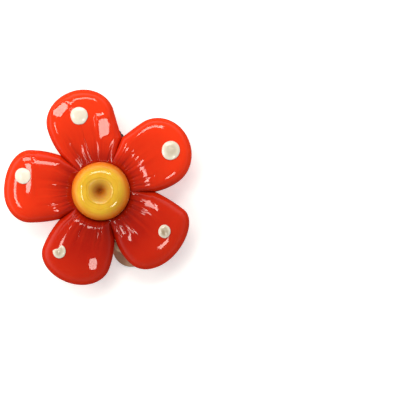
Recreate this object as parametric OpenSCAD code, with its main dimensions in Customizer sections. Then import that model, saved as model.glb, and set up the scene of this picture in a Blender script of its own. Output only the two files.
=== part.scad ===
// Clip-on earring: a flower of red glass with five petals, a dimpled bead of yellow
// glass at its heart and a cream dot on each petal, glued to a hinged metal clip.
// It lies face up on the back of the clip's paddle. +Z faces the viewer, +Y is the
// top of the flower, and the origin is under the middle of the outline.
// Heights inside the flower are taken from its flat back.

/* [Flower] */
// Centre of the flower to the tip of an ordinary petal
flower_r = 18.6; // [16:0.1:24]
// Glass thickness along the crest of a petal
petal_t = 3.6; // [3.2:0.1:5]
// Glass thickness in the dip beside the centre bead
dip_t = 2.2; // [2.1:0.1:3]
// Height of a petal's outermost edge over the flat back
rim_h = 1.0; // [0.6:0.1:1.5]
// How far the flat back stays inside the rounded edge
back_inset = 0.5; // [0.2:0.1:0.9]
// Depth of the pinched creases round the centre
crease_depth = 0.15; // [0.05:0.01:0.3]

/* [Centre bead] */
// Outer diameter of the yellow bead
bead_d = 11.2; // [9.6:0.1:13]
// Height of the bead
bead_h = 3.85; // [3:0.05:4.5]
// Rise of the bead's crest over its widest line
bead_crown = 2.6; // [1.8:0.1:2.8]
// Diameter of the bead's crest line
crest_d = 5.7; // [4.5:0.1:7]
// Diameter of the bead's flat foot
foot_d = 9.2; // [7.2:0.1:9.4]
// Depth of the bead's dimple, before its bottom is rounded
dimple_depth = 2.8; // [1.5:0.1:3]
// Diameter of the dimple's rounded bottom
dimple_floor_d = 0.6; // [0.4:0.1:1.2]
// Red glass left under the bead
seat_floor_t = 1.3; // [0.9:0.1:1.7]
// Clearance between the bead and its seat
seat_gap = 0.05; // [0.03:0.01:0.1]

/* [Dots] */
// Rise of a dot's middle over the petal
dot_rise = 0.32; // [0.2:0.02:0.6]
// Thickness of a dot at its edge
dot_edge_t = 0.1; // [0.05:0.01:0.2]
// Clearance between a dot and its petal
dot_gap = 0.05; // [0.03:0.01:0.1]

/* [Clip] */
// Turn of the clip's centre line from the flower's upright
clip_tilt = 15.5; // [0:0.5:30]
// Clip's centre line to the flower's centre
clip_aside = 2.4; // [0:0.1:4]
// Flower's centre down to the centre of the paddle's round end
clip_drop = 12.1; // [9:0.1:15]
// Thickness of the strap and the paddle
metal_t = 0.8; // [0.6:0.05:1.2]
// Gap for the ear lobe between strap and paddle
lobe_gap = 4.4; // [4.2:0.1:6]
// Width of the strap glued to the flower
strap_w = 7.1; // [6:0.1:8]
// Width of the paddle
paddle_w = 7.3; // [6:0.1:8]
// Centre of the paddle's round end to the centre of the strap's
paddle_past = 2.7; // [1.5:0.1:5]
// Film of glue between strap and flower
glue_t = 0.04; // [0.02:0.01:0.1]

/* [Hinge] */
// Centre of the paddle's round end to the hinge pin
hinge_reach = 20.9; // [18:0.1:24]
// Diameter of the hinge pin
pin_d = 1.2; // [1:0.05:1.4]
// Radial clearance of the pin in the paddle
pin_fit = 0.05; // [0.02:0.01:0.08]
// Diameter of the pin's riveted heads
pin_head_d = 1.9; // [1.7:0.1:2.4]
// Thickness of the pin's heads
pin_head_t = 0.3; // [0.2:0.05:0.5]
// Sheet thickness of the hinge ears and of the paddle's cheeks
ear_t = 0.6; // [0.4:0.05:0.8]
// Radius of the round end of an ear
ear_r = 1.4; // [1.2:0.05:1.7]
// Clearance between parts that move past each other
run_gap = 0.1; // [0.08:0.01:0.2]
// Length of an ear's root along the strap
ear_root = 4.6; // [3.5:0.1:6]
// Length of a cheek's root along the paddle
cheek_root = 6.2; // [4:0.1:8]

/* [Hidden] */
$fn = 64;

// Colours
RED_GLASS = [0.86, 0.13, 0.05];
YELLOW_GLASS = [0.93, 0.71, 0.20];
CREAM_GLASS = [0.97, 0.93, 0.83];
CLIP_METAL = [0.62, 0.58, 0.50];

// Petals in order round the flower, counter-clockwise: direction of the petal's
// line, then its reach, the distance out at which its right and left halves are
// widest, and those halves' widths, in shares of flower_r. Last, where its crest
// lies, in shares of the way from the bead's seat to the tip.
AIM = 0;
REACH = 1;
RIGHT_AT = 2;
LEFT_AT = 3;
RIGHT_W = 4;
LEFT_W = 5;
CREST = 6;
PETALS = [
    // aim   reach  right_at left_at right_w left_w  crest
    [ 35.6,  1.05,  0.70,   0.74,   0.383,  0.331,  0.5],  // upper right
    [105.3,  1.07,  0.77,   0.76,   0.342,  0.366,  0.85], // top
    [180.1,  1.00,  0.735,  0.735,  0.426,  0.322,  0.4],  // left
    [249.0,  1.00,  0.75,   0.72,   0.354,  0.363,  0.5],  // bottom
    [321.5,  1.00,  0.72,   0.785,  0.396,  0.382,  0.5],  // lower right
];
PETAL_COUNT = len(PETALS);

// Notches, each at the right-hand side of the petal in the same row: direction, and
// distance from the centre in shares of flower_r.
NOTCH_AIM = 0;
NOTCH_R = 1;
NOTCHES = [
    // aim   distance
    [ -0.6,  0.557],
    [ 69.0,  0.592],
    [138.5,  0.557],
    [214.0,  0.516],
    [285.9,  0.512],
];

// Dots, one to a petal: direction, distance from the centre, and width and height
// as seen from the front, in shares of flower_r.
DOT_AIM = 0;
DOT_R = 1;
DOT_W = 2;
DOT_H = 3;
DOTS = [
    // aim   distance width  height
    [ 30.2,  0.830,   0.185, 0.195], // upper right
    [105.8,  0.801,   0.180, 0.180], // top
    [168.9,  0.809,   0.160, 0.165], // left
    [235.3,  0.743,   0.127, 0.130], // bottom
    [327.8,  0.771,   0.123, 0.139], // lower right
];

// Rows of the petal mesh: 0 is the edge of the bead's seat, 1 the notches, 2 the
// widest place, 3 the tip.
INNER_ROWS = [0, 0.12, 0.3, 0.5, 0.7, 0.87];
MIDDLE_ROWS = [1, 1.12, 1.3, 1.5, 1.7, 1.85];
TIP_ROWS = [for (turn = [0, 15, 30, 44, 56, 67, 76, 84]) 2 + turn / 90];
ROWS = concat(INNER_ROWS, MIDDLE_ROWS, TIP_ROWS);
ROW_COUNT = len(ROWS);
NOTCH_ROW = len(INNER_ROWS);

// Places across a petal in shares of its half width. Every second one holds a crease.
HALF_SHARES = [0.17, 0.34, 0.5, 0.65, 0.78, 0.89, 0.96, 1];
ACROSS_SHARES = concat([for (i = [len(HALF_SHARES) - 1:-1:0]) -HALF_SHARES[i]], [0], HALF_SHARES);
COLUMNS = len(ACROSS_SHARES);
MIDDLE = len(HALF_SHARES);

// Shape of a petal's section: the larger the number, the flatter its top
PILLOW = 3.2;
// Shape of the dip: the larger the number, the steeper it is at the bead's seat
DIP_BEND = 2.1;
// Fall of the crest line towards the tip, in shares of petal_t
TIP_FALL_SHARE = 0.12;
// Rows between which a petal has creases
CREASE_ROWS = [0.05, 1.5];
// Lead of a row's middle over its ends at the widest place, in shares of what is left
BOW_SHARE = 0.3;
// Share of the half width past which there are no creases
CREASE_SIDE_SHARE = 0.9;
// Height of the lower line of a petal's rounded edge, in shares of rim_h
LOWER_EDGE_SHARE = 0.45;
// Turns round a quarter of the bead's section, and steps across its dimple's bottom
BEAD_TURNS = [0:6:90];
// Fullness of the bead's shoulder: 1 is an ellipse, a smaller number is fuller
SHOULDER = 0.87;
FLOOR_STEPS = 5;
// Number of places round a dot, and its rings in shares of its radius
DOT_SIDES = 20;
DOT_RINGS = [0.4, 0.75, 1];
// Distance of the ears' inner faces inside the paddle's edges
EAR_INSET = 0.15;
// How much smaller than the ears the paddle's cheeks are
CHEEK_LESS = 0.2;
// Clearance of the pin in the ears, and of its heads beside them
PIN_SEAT = 0.02;
// Length of a cutter past the metal that it cuts
CUT = 1;
// Smallest width that is divided by
TINY = 0.001;

// Places that follow from the sizes above
bead_r = bead_d / 2;
crest_r = crest_d / 2;
foot_r = foot_d / 2;
seat_r = bead_r + seat_gap;
foot_z = seat_floor_t + seat_gap;
bead_top = foot_z + bead_h;
bead_side_z = bead_top - bead_crown;
strap_z = metal_t + lobe_gap;
back_z = strap_z + metal_t + glue_t;
pin_z = metal_t + run_gap + ear_r;
ear_inside = max(strap_w, paddle_w) / 2 - EAR_INSET;
ear_outside = ear_inside + ear_t;
cheek_outside = ear_inside - run_gap;
cheek_r = ear_r - CHEEK_LESS;
hinge_end = hinge_reach + ear_r;

// The lengths of one petal, in millimetres
function reach(i) = PETALS[i][REACH] * flower_r;
function widest_at(i, side) = PETALS[i][side > 0 ? LEFT_AT : RIGHT_AT] * flower_r;
function half_w(i, side) = PETALS[i][side > 0 ? LEFT_W : RIGHT_W] * flower_r;

// The notch beside petal i, seen along the petal's line: how far out, how far aside
function notch_of(i, side) = NOTCHES[side > 0 ? (i + 1) % PETAL_COUNT : i];
function notch_turn(i, side) =
    let (turn = side * (notch_of(i, side)[NOTCH_AIM] - PETALS[i][AIM]))
    (turn + 720) % 360;
function notch_r(i, side) = notch_of(i, side)[NOTCH_R] * flower_r;
function notch_x(i, side) = notch_r(i, side) * cos(notch_turn(i, side));
function notch_y(i, side) = notch_r(i, side) * sin(notch_turn(i, side));

// Half width of petal i at a distance x along its line
function width_at(i, side, x) =
    let (near = notch_x(i, side), wide = widest_at(i, side))
    x < near ? x * tan(notch_turn(i, side))
    : x < wide ? half_w(i, side)
        - (half_w(i, side) - notch_y(i, side)) * pow((wide - x) / (wide - near), 2)
    : half_w(i, side) * sqrt(max(0, 1 - pow((x - wide) / (reach(i) - wide), 2)));

// End of a row of petal i on one side: along and aside
function row_end(i, side, row) =
    row < 1 ? let (turn = notch_turn(i, side), r = seat_r + (notch_r(i, side) - seat_r) * row)
        [r * cos(turn), r * sin(turn)]
    : row < 2 ? let (x = notch_x(i, side) + (widest_at(i, side) - notch_x(i, side)) * (row - 1))
        [x, width_at(i, side, x)]
    : let (wide = widest_at(i, side), turn = (row - 2) * 90)
        [wide + (reach(i) - wide) * sin(turn), half_w(i, side) * cos(turn)];

// Middle of a row of petal i, on the petal's line
function row_middle(i, row) =
    let (first = (notch_r(i, 1) + notch_r(i, -1)) / 2,
         wide = (widest_at(i, 1) + widest_at(i, -1)) / 2,
         second = wide + (reach(i) - wide) * BOW_SHARE)
    row < 1 ? seat_r + (first - seat_r) * row
    : row < 2 ? first + (second - first) * (row - 1)
    : second + (reach(i) - second) * sin((row - 2) * 90);

// A place on petal i by its row and its share of the half width, along and aside.
// Rows are arcs round the flower's centre as far as the notches, and bows past them.
function place(i, row, across) =
    let (side = across < 0 ? -1 : 1,
         share = abs(across),
         end = row_end(i, side, row),
         middle = row_middle(i, row),
         turn = notch_turn(i, side) * share,
         arc = middle + (norm(end) - middle) * share * share)
    row <= 1 ? arc * [cos(turn), side * sin(turn)]
    : [middle + (end[0] - middle) * share * share, side * end[1] * share];

function smooth(t) = let (c = min(1, max(0, t))) c * c * (3 - 2 * c);

// Height of the crest line of petal i, and of the crease between two petals
function crest_h(i, r) =
    let (crest = seat_r + (reach(i) - seat_r) * PETALS[i][CREST])
    r < crest ? dip_t + (petal_t - dip_t) * (1 - pow((crest - max(r, seat_r)) / (crest - seat_r), DIP_BEND))
    : petal_t * (1 - TIP_FALL_SHARE * pow((r - crest) / (reach(i) - crest), 2));
function edge_h(i, side, r) =
    let (t = (r - seat_r) / (notch_r(i, side) - seat_r))
    dip_t + (rim_h - dip_t) * smooth(t);

// How near a place is to the petal's edge: 0 on its line, 1 on the edge
function nearness(i, x, y) =
    let (side = y < 0 ? -1 : 1,
         across = min(1, abs(y) / half_w(i, side)),
         lean = smooth(0.5 + 0.5 * side * across),
         wide = widest_at(i, -1) + (widest_at(i, 1) - widest_at(i, -1)) * lean)
    x < wide ? min(1, abs(y) / max(TINY, width_at(i, side, min(x, widest_at(i, side)))))
    : min(1, norm([(x - wide) / (reach(i) - wide), across]));

// Height of the smooth glass over the flat back at a place on petal i
function glass_h(i, x, y) =
    let (side = y < 0 ? -1 : 1,
         edge = edge_h(i, side, norm([x, y])),
         swell = sqrt(max(0, 1 - pow(nearness(i, x, y), PILLOW))))
    edge + (crest_h(i, norm([x, y])) - edge) * swell;

// Depth of the creases at a row and column of the petal mesh
function crease(row, column) =
    let (t = (row - CREASE_ROWS[0]) / (CREASE_ROWS[1] - CREASE_ROWS[0]))
    t <= 0 || t >= 1 || (column + MIDDLE) % 2 == 0 || abs(ACROSS_SHARES[column]) > CREASE_SIDE_SHARE ? 0
    : crease_depth * pow(sin(180 * sqrt(t)), 2);

// Turns a place on petal i to the flower's own frame
function turned(i, p, z) =
    let (a = PETALS[i][AIM])
    [p[0] * cos(a) - p[1] * sin(a), p[0] * sin(a) + p[1] * cos(a), z];

// Points of the flower. The upper face has a block of rows for each petal, and
// neighbours share the points of the crease between them.
function upper_points(i) = [
    for (row = ROWS, column = [0:COLUMNS - 1])
        let (p = place(i, row, ACROSS_SHARES[column]),
             end = abs(ACROSS_SHARES[column]) == 1,
             side = ACROSS_SHARES[column] < 0 ? -1 : 1)
        turned(i, p, end ? edge_h(i, side, min(norm(p), notch_r(i, side)))
                         : glass_h(i, p[0], p[1]) - crease(row, column))];
function tip_point(i) = turned(i, [reach(i), 0], rim_h);

// Outline places past a notch, going out on the right side, over the tip and back
function outline(i) = concat(
    [for (k = [NOTCH_ROW:ROW_COUNT - 1]) place(i, ROWS[k], -1)],
    [[reach(i), 0]],
    [for (k = [ROW_COUNT - 1:-1:NOTCH_ROW]) place(i, ROWS[k], 1)]);
OUTLINE_COUNT = 2 * (ROW_COUNT - NOTCH_ROW) + 1;
function inset(i, p) =
    let (side = p[1] < 0 ? -1 : 1,
         wide = widest_at(i, side),
         along = p[0] > wide ? back_inset * pow((p[0] - wide) / (reach(i) - wide), 2) : 0)
    [p[0] - along, p[1] - side * min(back_inset * abs(p[1]) / half_w(i, side), abs(p[1]))];

function lower_edge_points(i) = [for (p = outline(i)) turned(i, p, rim_h * LOWER_EDGE_SHARE)];
function back_points(i) = let (line = outline(i)) [
    for (k = [0:OUTLINE_COUNT - 1])
        let (at_notch = k == 0 || k == OUTLINE_COUNT - 1,
             drawn_in = 1 - back_inset / norm(line[k]))
        turned(i, at_notch ? line[k] * drawn_in : inset(i, line[k]), 0)];
function seat_points(i) = [for (column = [0:COLUMNS - 1])
    turned(i, place(i, 0, ACROSS_SHARES[column]), seat_floor_t)];
function spine_points(i) = [for (k = [NOTCH_ROW:ROW_COUNT - 1])
    turned(i, [row_middle(i, ROWS[k]) - back_inset, 0], 0)];

// Where each kind of point starts in the list
UPPER_BLOCK = ROW_COUNT * COLUMNS;
TIP_START = PETAL_COUNT * UPPER_BLOCK;
EDGE_START = TIP_START + PETAL_COUNT;
BACK_START = EDGE_START + PETAL_COUNT * OUTLINE_COUNT;
SEAT_START = BACK_START + PETAL_COUNT * OUTLINE_COUNT;
SPINE_START = SEAT_START + PETAL_COUNT * COLUMNS;
SPINE_COUNT = ROW_COUNT - NOTCH_ROW;
SEAT_CENTRE = SPINE_START + PETAL_COUNT * SPINE_COUNT;
BACK_CENTRE = SEAT_CENTRE + 1;

// A petal's first column is its neighbour's last one as far as the notch
function upper(i, row, column) = column == 0 && row <= NOTCH_ROW
    ? ((i + PETAL_COUNT - 1) % PETAL_COUNT) * UPPER_BLOCK + row * COLUMNS + COLUMNS - 1
    : i * UPPER_BLOCK + row * COLUMNS + column;
function seat(i, column) = column == 0
    ? SEAT_START + ((i + PETAL_COUNT - 1) % PETAL_COUNT) * COLUMNS + COLUMNS - 1
    : SEAT_START + i * COLUMNS + column;
// Outline points, with the notch shared by two petals
function shared(start, i, k) = k == 0
    ? start + ((i + PETAL_COUNT - 1) % PETAL_COUNT) * OUTLINE_COUNT + OUTLINE_COUNT - 1
    : start + i * OUTLINE_COUNT + k;
function rim(i, k) =
    k < SPINE_COUNT ? upper(i, NOTCH_ROW + k, 0)
    : k == SPINE_COUNT ? TIP_START + i
    : upper(i, NOTCH_ROW + OUTLINE_COUNT - 1 - k, COLUMNS - 1);
function spine(i, k) = SPINE_START + i * SPINE_COUNT + k;

function quad(a, b, c, d) = [[a, b, c], [a, c, d]];

function flower_faces() = [
    for (i = [0:PETAL_COUNT - 1]) each [
        // upper face
        for (row = [0:ROW_COUNT - 2], column = [0:COLUMNS - 2])
            each quad(upper(i, row, column), upper(i, row, column + 1),
                      upper(i, row + 1, column + 1), upper(i, row + 1, column)),
        for (column = [0:COLUMNS - 2])
            [upper(i, ROW_COUNT - 1, column), upper(i, ROW_COUNT - 1, column + 1), TIP_START + i],
        // rounded edge
        for (k = [0:OUTLINE_COUNT - 2]) each concat(
            quad(rim(i, k), rim(i, k + 1), shared(EDGE_START, i, k + 1), shared(EDGE_START, i, k)),
            quad(shared(EDGE_START, i, k), shared(EDGE_START, i, k + 1),
                 shared(BACK_START, i, k + 1), shared(BACK_START, i, k))),
        // flat back, to both sides of the petal's line
        [BACK_CENTRE, shared(BACK_START, i, 0), spine(i, 0)],
        [BACK_CENTRE, spine(i, 0), shared(BACK_START, i, OUTLINE_COUNT - 1)],
        for (k = [0:SPINE_COUNT - 2]) each concat(
            quad(shared(BACK_START, i, k), shared(BACK_START, i, k + 1), spine(i, k + 1), spine(i, k)),
            quad(spine(i, k), spine(i, k + 1), shared(BACK_START, i, OUTLINE_COUNT - 2 - k),
                 shared(BACK_START, i, OUTLINE_COUNT - 1 - k))),
        for (k = [SPINE_COUNT - 1, SPINE_COUNT])
            [shared(BACK_START, i, k), shared(BACK_START, i, k + 1), spine(i, SPINE_COUNT - 1)],
        // seat of the bead
        for (column = [0:COLUMNS - 2]) each concat(
            quad(upper(i, 0, column + 1), upper(i, 0, column), seat(i, column), seat(i, column + 1)),
            [[seat(i, column + 1), seat(i, column), SEAT_CENTRE]]),
    ]];

// The middle of the whole outline, which stands over the origin
flower_outline = [for (i = [0:PETAL_COUNT - 1]) each [for (p = outline(i)) turned(i, p, 0)]];
function on_clip(aside, along) =
    let (p = [clip_aside + aside, along - clip_drop])
    [p[0] * cos(clip_tilt) - p[1] * sin(clip_tilt), p[0] * sin(clip_tilt) + p[1] * cos(clip_tilt)];
clip_outline = concat(
    [for (turn = [180:10:360]) on_clip(paddle_w / 2 * cos(turn), paddle_w / 2 * sin(turn))],
    [for (side = [-1, 1]) on_clip(side * ear_outside, hinge_end)]);
all_outline = concat(flower_outline, clip_outline);
function middle_of(values) = (min(values) + max(values)) / 2;
middle_x = middle_of([for (p = all_outline) p[0]]);
middle_y = middle_of([for (p = all_outline) p[1]]);

// Puts a piece of the flower in place over the clip
module in_flower() {
    translate([-middle_x, -middle_y, back_z]) children();
}

// Puts a piece of the clip in place: x across the clip, y from the centre of the
// paddle's round end to the hinge
module in_clip() {
    translate([-middle_x, -middle_y, 0])
        rotate([0, 0, clip_tilt])
            translate([clip_aside, -clip_drop, 0]) children();
}

// Red glass: five petals in one piece, with the round seat of the bead
module flower() {
    points = concat(
        [for (i = [0:PETAL_COUNT - 1]) each upper_points(i)],
        [for (i = [0:PETAL_COUNT - 1]) tip_point(i)],
        [for (i = [0:PETAL_COUNT - 1]) each lower_edge_points(i)],
        [for (i = [0:PETAL_COUNT - 1]) each back_points(i)],
        [for (i = [0:PETAL_COUNT - 1]) each seat_points(i)],
        [for (i = [0:PETAL_COUNT - 1]) each spine_points(i)],
        [[0, 0, seat_floor_t], [0, 0, 0]]);
    color(RED_GLASS) in_flower()
        polyhedron(points = points, faces = flower_faces(), convexity = 6);
}

// Half section of the bead, from its foot over the side and the crest into the dimple
function dimple_turn() = acos(1 - dimple_floor_d / 2 / crest_r);
function dimple_point(turn) = [crest_r * (1 - cos(turn)), bead_top - dimple_depth * (1 - sin(turn))];
function bead_section() =
    let (last = dimple_point(dimple_turn()),
         slope = dimple_depth / crest_r / tan(dimple_turn()))
    concat(
        [[0, foot_z]],
        [for (turn = BEAD_TURNS) [foot_r + (bead_r - foot_r) * sin(turn),
                                  bead_side_z - (bead_side_z - foot_z) * cos(turn)]],
        [for (turn = BEAD_TURNS) if (turn > 0)
            [crest_r + (bead_r - crest_r) * pow(cos(turn), SHOULDER),
             bead_side_z + bead_crown * pow(sin(turn), SHOULDER)]],
        [for (k = [1:len([for (turn = BEAD_TURNS) turn])])
            dimple_point(90 - (90 - dimple_turn()) * k / len([for (turn = BEAD_TURNS) turn]))],
        [for (k = [FLOOR_STEPS - 1:-1:0]) let (r = last[0] * k / FLOOR_STEPS)
            [r, last[1] - slope * (last[0] - r * r / last[0]) / 2]]);

// Yellow glass bead with a flat foot in the flower's seat and a deep dimple on top
module centre_bead() {
    color(YELLOW_GLASS) in_flower() rotate_extrude() polygon(bead_section());
}

// Height of the petal under a dot, at a place in the flower's own frame
function petal_h(i, p) =
    let (a = PETALS[i][AIM])
    glass_h(i, p[0] * cos(a) + p[1] * sin(a), p[1] * cos(a) - p[0] * sin(a));

// Cream dot on petal i: a thin lens that follows the petal's surface
module dot(i) {
    d = DOTS[i];
    centre = d[DOT_R] * flower_r * [cos(d[DOT_AIM]), sin(d[DOT_AIM])];
    half = [d[DOT_W], d[DOT_H]] * flower_r / 2;
    rings = len(DOT_RINGS);
    places = [for (share = DOT_RINGS, k = [0:DOT_SIDES - 1])
        let (turn = 360 * k / DOT_SIDES)
        [centre[0] + half[0] * share * cos(turn), centre[1] + half[1] * share * sin(turn), share]];
    function under(p) = petal_h(i, p) + dot_gap;
    function over(p) = under(p) + dot_edge_t + (dot_rise - dot_edge_t) * (1 - pow(p[2], 2));
    upper = [for (p = places) [p[0], p[1], over(p)]];
    lower = [for (p = places) [p[0], p[1], under(p)]];
    low = len(places);
    centres = [[centre[0], centre[1], over([centre[0], centre[1], 0])],
               [centre[0], centre[1], under([centre[0], centre[1], 0])]];
    top_centre = 2 * low;
    outer = (rings - 1) * DOT_SIDES;
    faces = [for (k = [0:DOT_SIDES - 1]) let (n = (k + 1) % DOT_SIDES) each concat(
        [[top_centre, n, k], [top_centre + 1, low + k, low + n]],
        [for (r = [0:rings - 2]) let (a = r * DOT_SIDES, b = a + DOT_SIDES) each concat(
            quad(a + k, a + n, b + n, b + k),
            quad(low + a + n, low + a + k, low + b + k, low + b + n))],
        quad(outer + k, outer + n, low + outer + n, low + outer + k))];
    color(CREAM_GLASS) in_flower()
        polyhedron(points = concat(upper, lower, centres), faces = faces, convexity = 2);
}
module dot_upper_right() { dot(0); }
module dot_top() { dot(1); }
module dot_left() { dot(2); }
module dot_bottom() { dot(3); }
module dot_lower_right() { dot(4); }

// A sheet cheek that stands along the clip, from x = inside outwards on one side
module cheek(inside, side) {
    translate([side > 0 ? inside : -inside - ear_t, 0, 0])
        rotate([90, 0, 90]) linear_extrude(ear_t) children();
}

// Strap glued to the flower, with two ears that carry the pin
module clip_base() {
    root_start = hinge_end - ear_root;
    color(CLIP_METAL) in_clip()
        difference() {
            union() {
                translate([0, 0, strap_z]) linear_extrude(metal_t) union() {
                    translate([0, paddle_past]) circle(d = strap_w);
                    translate([-strap_w / 2, paddle_past]) square([strap_w, hinge_end - paddle_past]);
                    translate([-ear_outside, root_start]) square([2 * ear_outside, ear_root]);
                }
                for (side = [-1, 1]) cheek(ear_inside, side) union() {
                    translate([hinge_reach, pin_z]) circle(r = ear_r);
                    polygon([
                        [hinge_end, pin_z],
                        [hinge_end, strap_z + metal_t],
                        [root_start, strap_z + metal_t],
                        [root_start, strap_z],
                        [hinge_reach - ear_r, pin_z + ear_r],
                        [hinge_reach - ear_r, pin_z]]);
                }
            }
            translate([-ear_outside - CUT, hinge_reach, pin_z])
                rotate([0, 90, 0]) cylinder(h = 2 * (ear_outside + CUT), r = pin_d / 2 + PIN_SEAT);
        }
}

// Hinge pin, riveted over outside the ears
module hinge_pin() {
    head_start = ear_outside + PIN_SEAT;
    color(CLIP_METAL) in_clip() translate([0, hinge_reach, pin_z]) rotate([0, 90, 0]) union() {
        translate([0, 0, -head_start]) cylinder(h = 2 * head_start, d = pin_d);
        for (side = [-1, 1])
            translate([0, 0, side > 0 ? head_start : -head_start - pin_head_t])
                cylinder(h = pin_head_t, d = pin_head_d);
    }
}

// Paddle that presses the ear lobe against the strap, and opens on the pin
module paddle() {
    heel = hinge_reach + cheek_r;
    color(CLIP_METAL) in_clip()
        difference() {
            union() {
                linear_extrude(metal_t) union() {
                    circle(d = paddle_w);
                    translate([-paddle_w / 2, 0]) square([paddle_w, heel]);
                }
                for (side = [-1, 1]) cheek(cheek_outside - ear_t, side) union() {
                    translate([hinge_reach, pin_z]) circle(r = cheek_r);
                    polygon([
                        [heel, 0],
                        [heel, pin_z],
                        [hinge_reach - cheek_r, pin_z],
                        [heel - cheek_root, metal_t],
                        [heel - cheek_root, 0]]);
                }
            }
            translate([-ear_outside, hinge_reach, pin_z])
                rotate([0, 90, 0]) cylinder(h = 2 * ear_outside, r = pin_d / 2 + pin_fit);
        }
}

flower();
centre_bead();
dot_upper_right();
dot_top();
dot_left();
dot_bottom();
dot_lower_right();
clip_base();
hinge_pin();
paddle();
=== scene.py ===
"""Looks of a clip on earring: a flower of red glass on a hinged metal clip.

The flower has five rounded petals with pinched creases round a dimpled bead of
yellow glass, and a cream dot on each petal. Its clip is a metal strap with two
ears, a riveted pin and a paddle. Lengths in the classes are millimetres in the
row frame, and meshes are made in metres.
"""

import logging
import math
from abc import ABC, abstractmethod
from dataclasses import dataclass, field
from enum import Enum
from functools import reduce
from typing import Any

import bmesh
import bpy
from mathutils import Matrix, Vector


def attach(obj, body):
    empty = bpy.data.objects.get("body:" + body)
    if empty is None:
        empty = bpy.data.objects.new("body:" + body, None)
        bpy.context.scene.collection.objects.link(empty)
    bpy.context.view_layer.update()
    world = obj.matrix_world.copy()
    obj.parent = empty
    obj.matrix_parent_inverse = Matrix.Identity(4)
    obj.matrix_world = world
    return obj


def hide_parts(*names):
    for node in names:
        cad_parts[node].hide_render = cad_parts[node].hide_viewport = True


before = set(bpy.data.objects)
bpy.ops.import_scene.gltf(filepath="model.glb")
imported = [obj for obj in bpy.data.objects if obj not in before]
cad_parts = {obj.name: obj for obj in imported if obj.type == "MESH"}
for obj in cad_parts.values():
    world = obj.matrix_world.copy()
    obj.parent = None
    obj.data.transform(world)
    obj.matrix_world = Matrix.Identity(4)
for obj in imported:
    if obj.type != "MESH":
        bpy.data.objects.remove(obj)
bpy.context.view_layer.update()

MM = 0.001
LOG = logging.getLogger("earring")

Point = tuple[float, float]
Colour = tuple[float, float, float]
Socket = bpy.types.NodeSocket

# the flower's centre, how far its petals reach, how high its flat back lies, and where the pin lies
CENTRE: Point = (0.653, -0.760)
FLOWER_R = 18.58
BACK_Z = 6.04
HINGE_REACH = 20.9
PIN_Z = 2.3

# numbers kept on the petals' points: row from seat to tip, share of the half width, and the petal
PETAL_MARKS = ("along", "across", "petal")


class Body(Enum):
    """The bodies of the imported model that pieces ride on."""

    FLOWER = "flower_body"
    PADDLE = "paddle_body"


class Slot(Enum):
    """The record's material slots."""

    RED = "red_glass"
    YELLOW = "yellow_glass"
    CREAM = "cream_glass"
    METAL = "clip_metal"


class Side(Enum):
    """The two sides of a petal, as signs."""

    RIGHT = -1
    LEFT = 1


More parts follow.
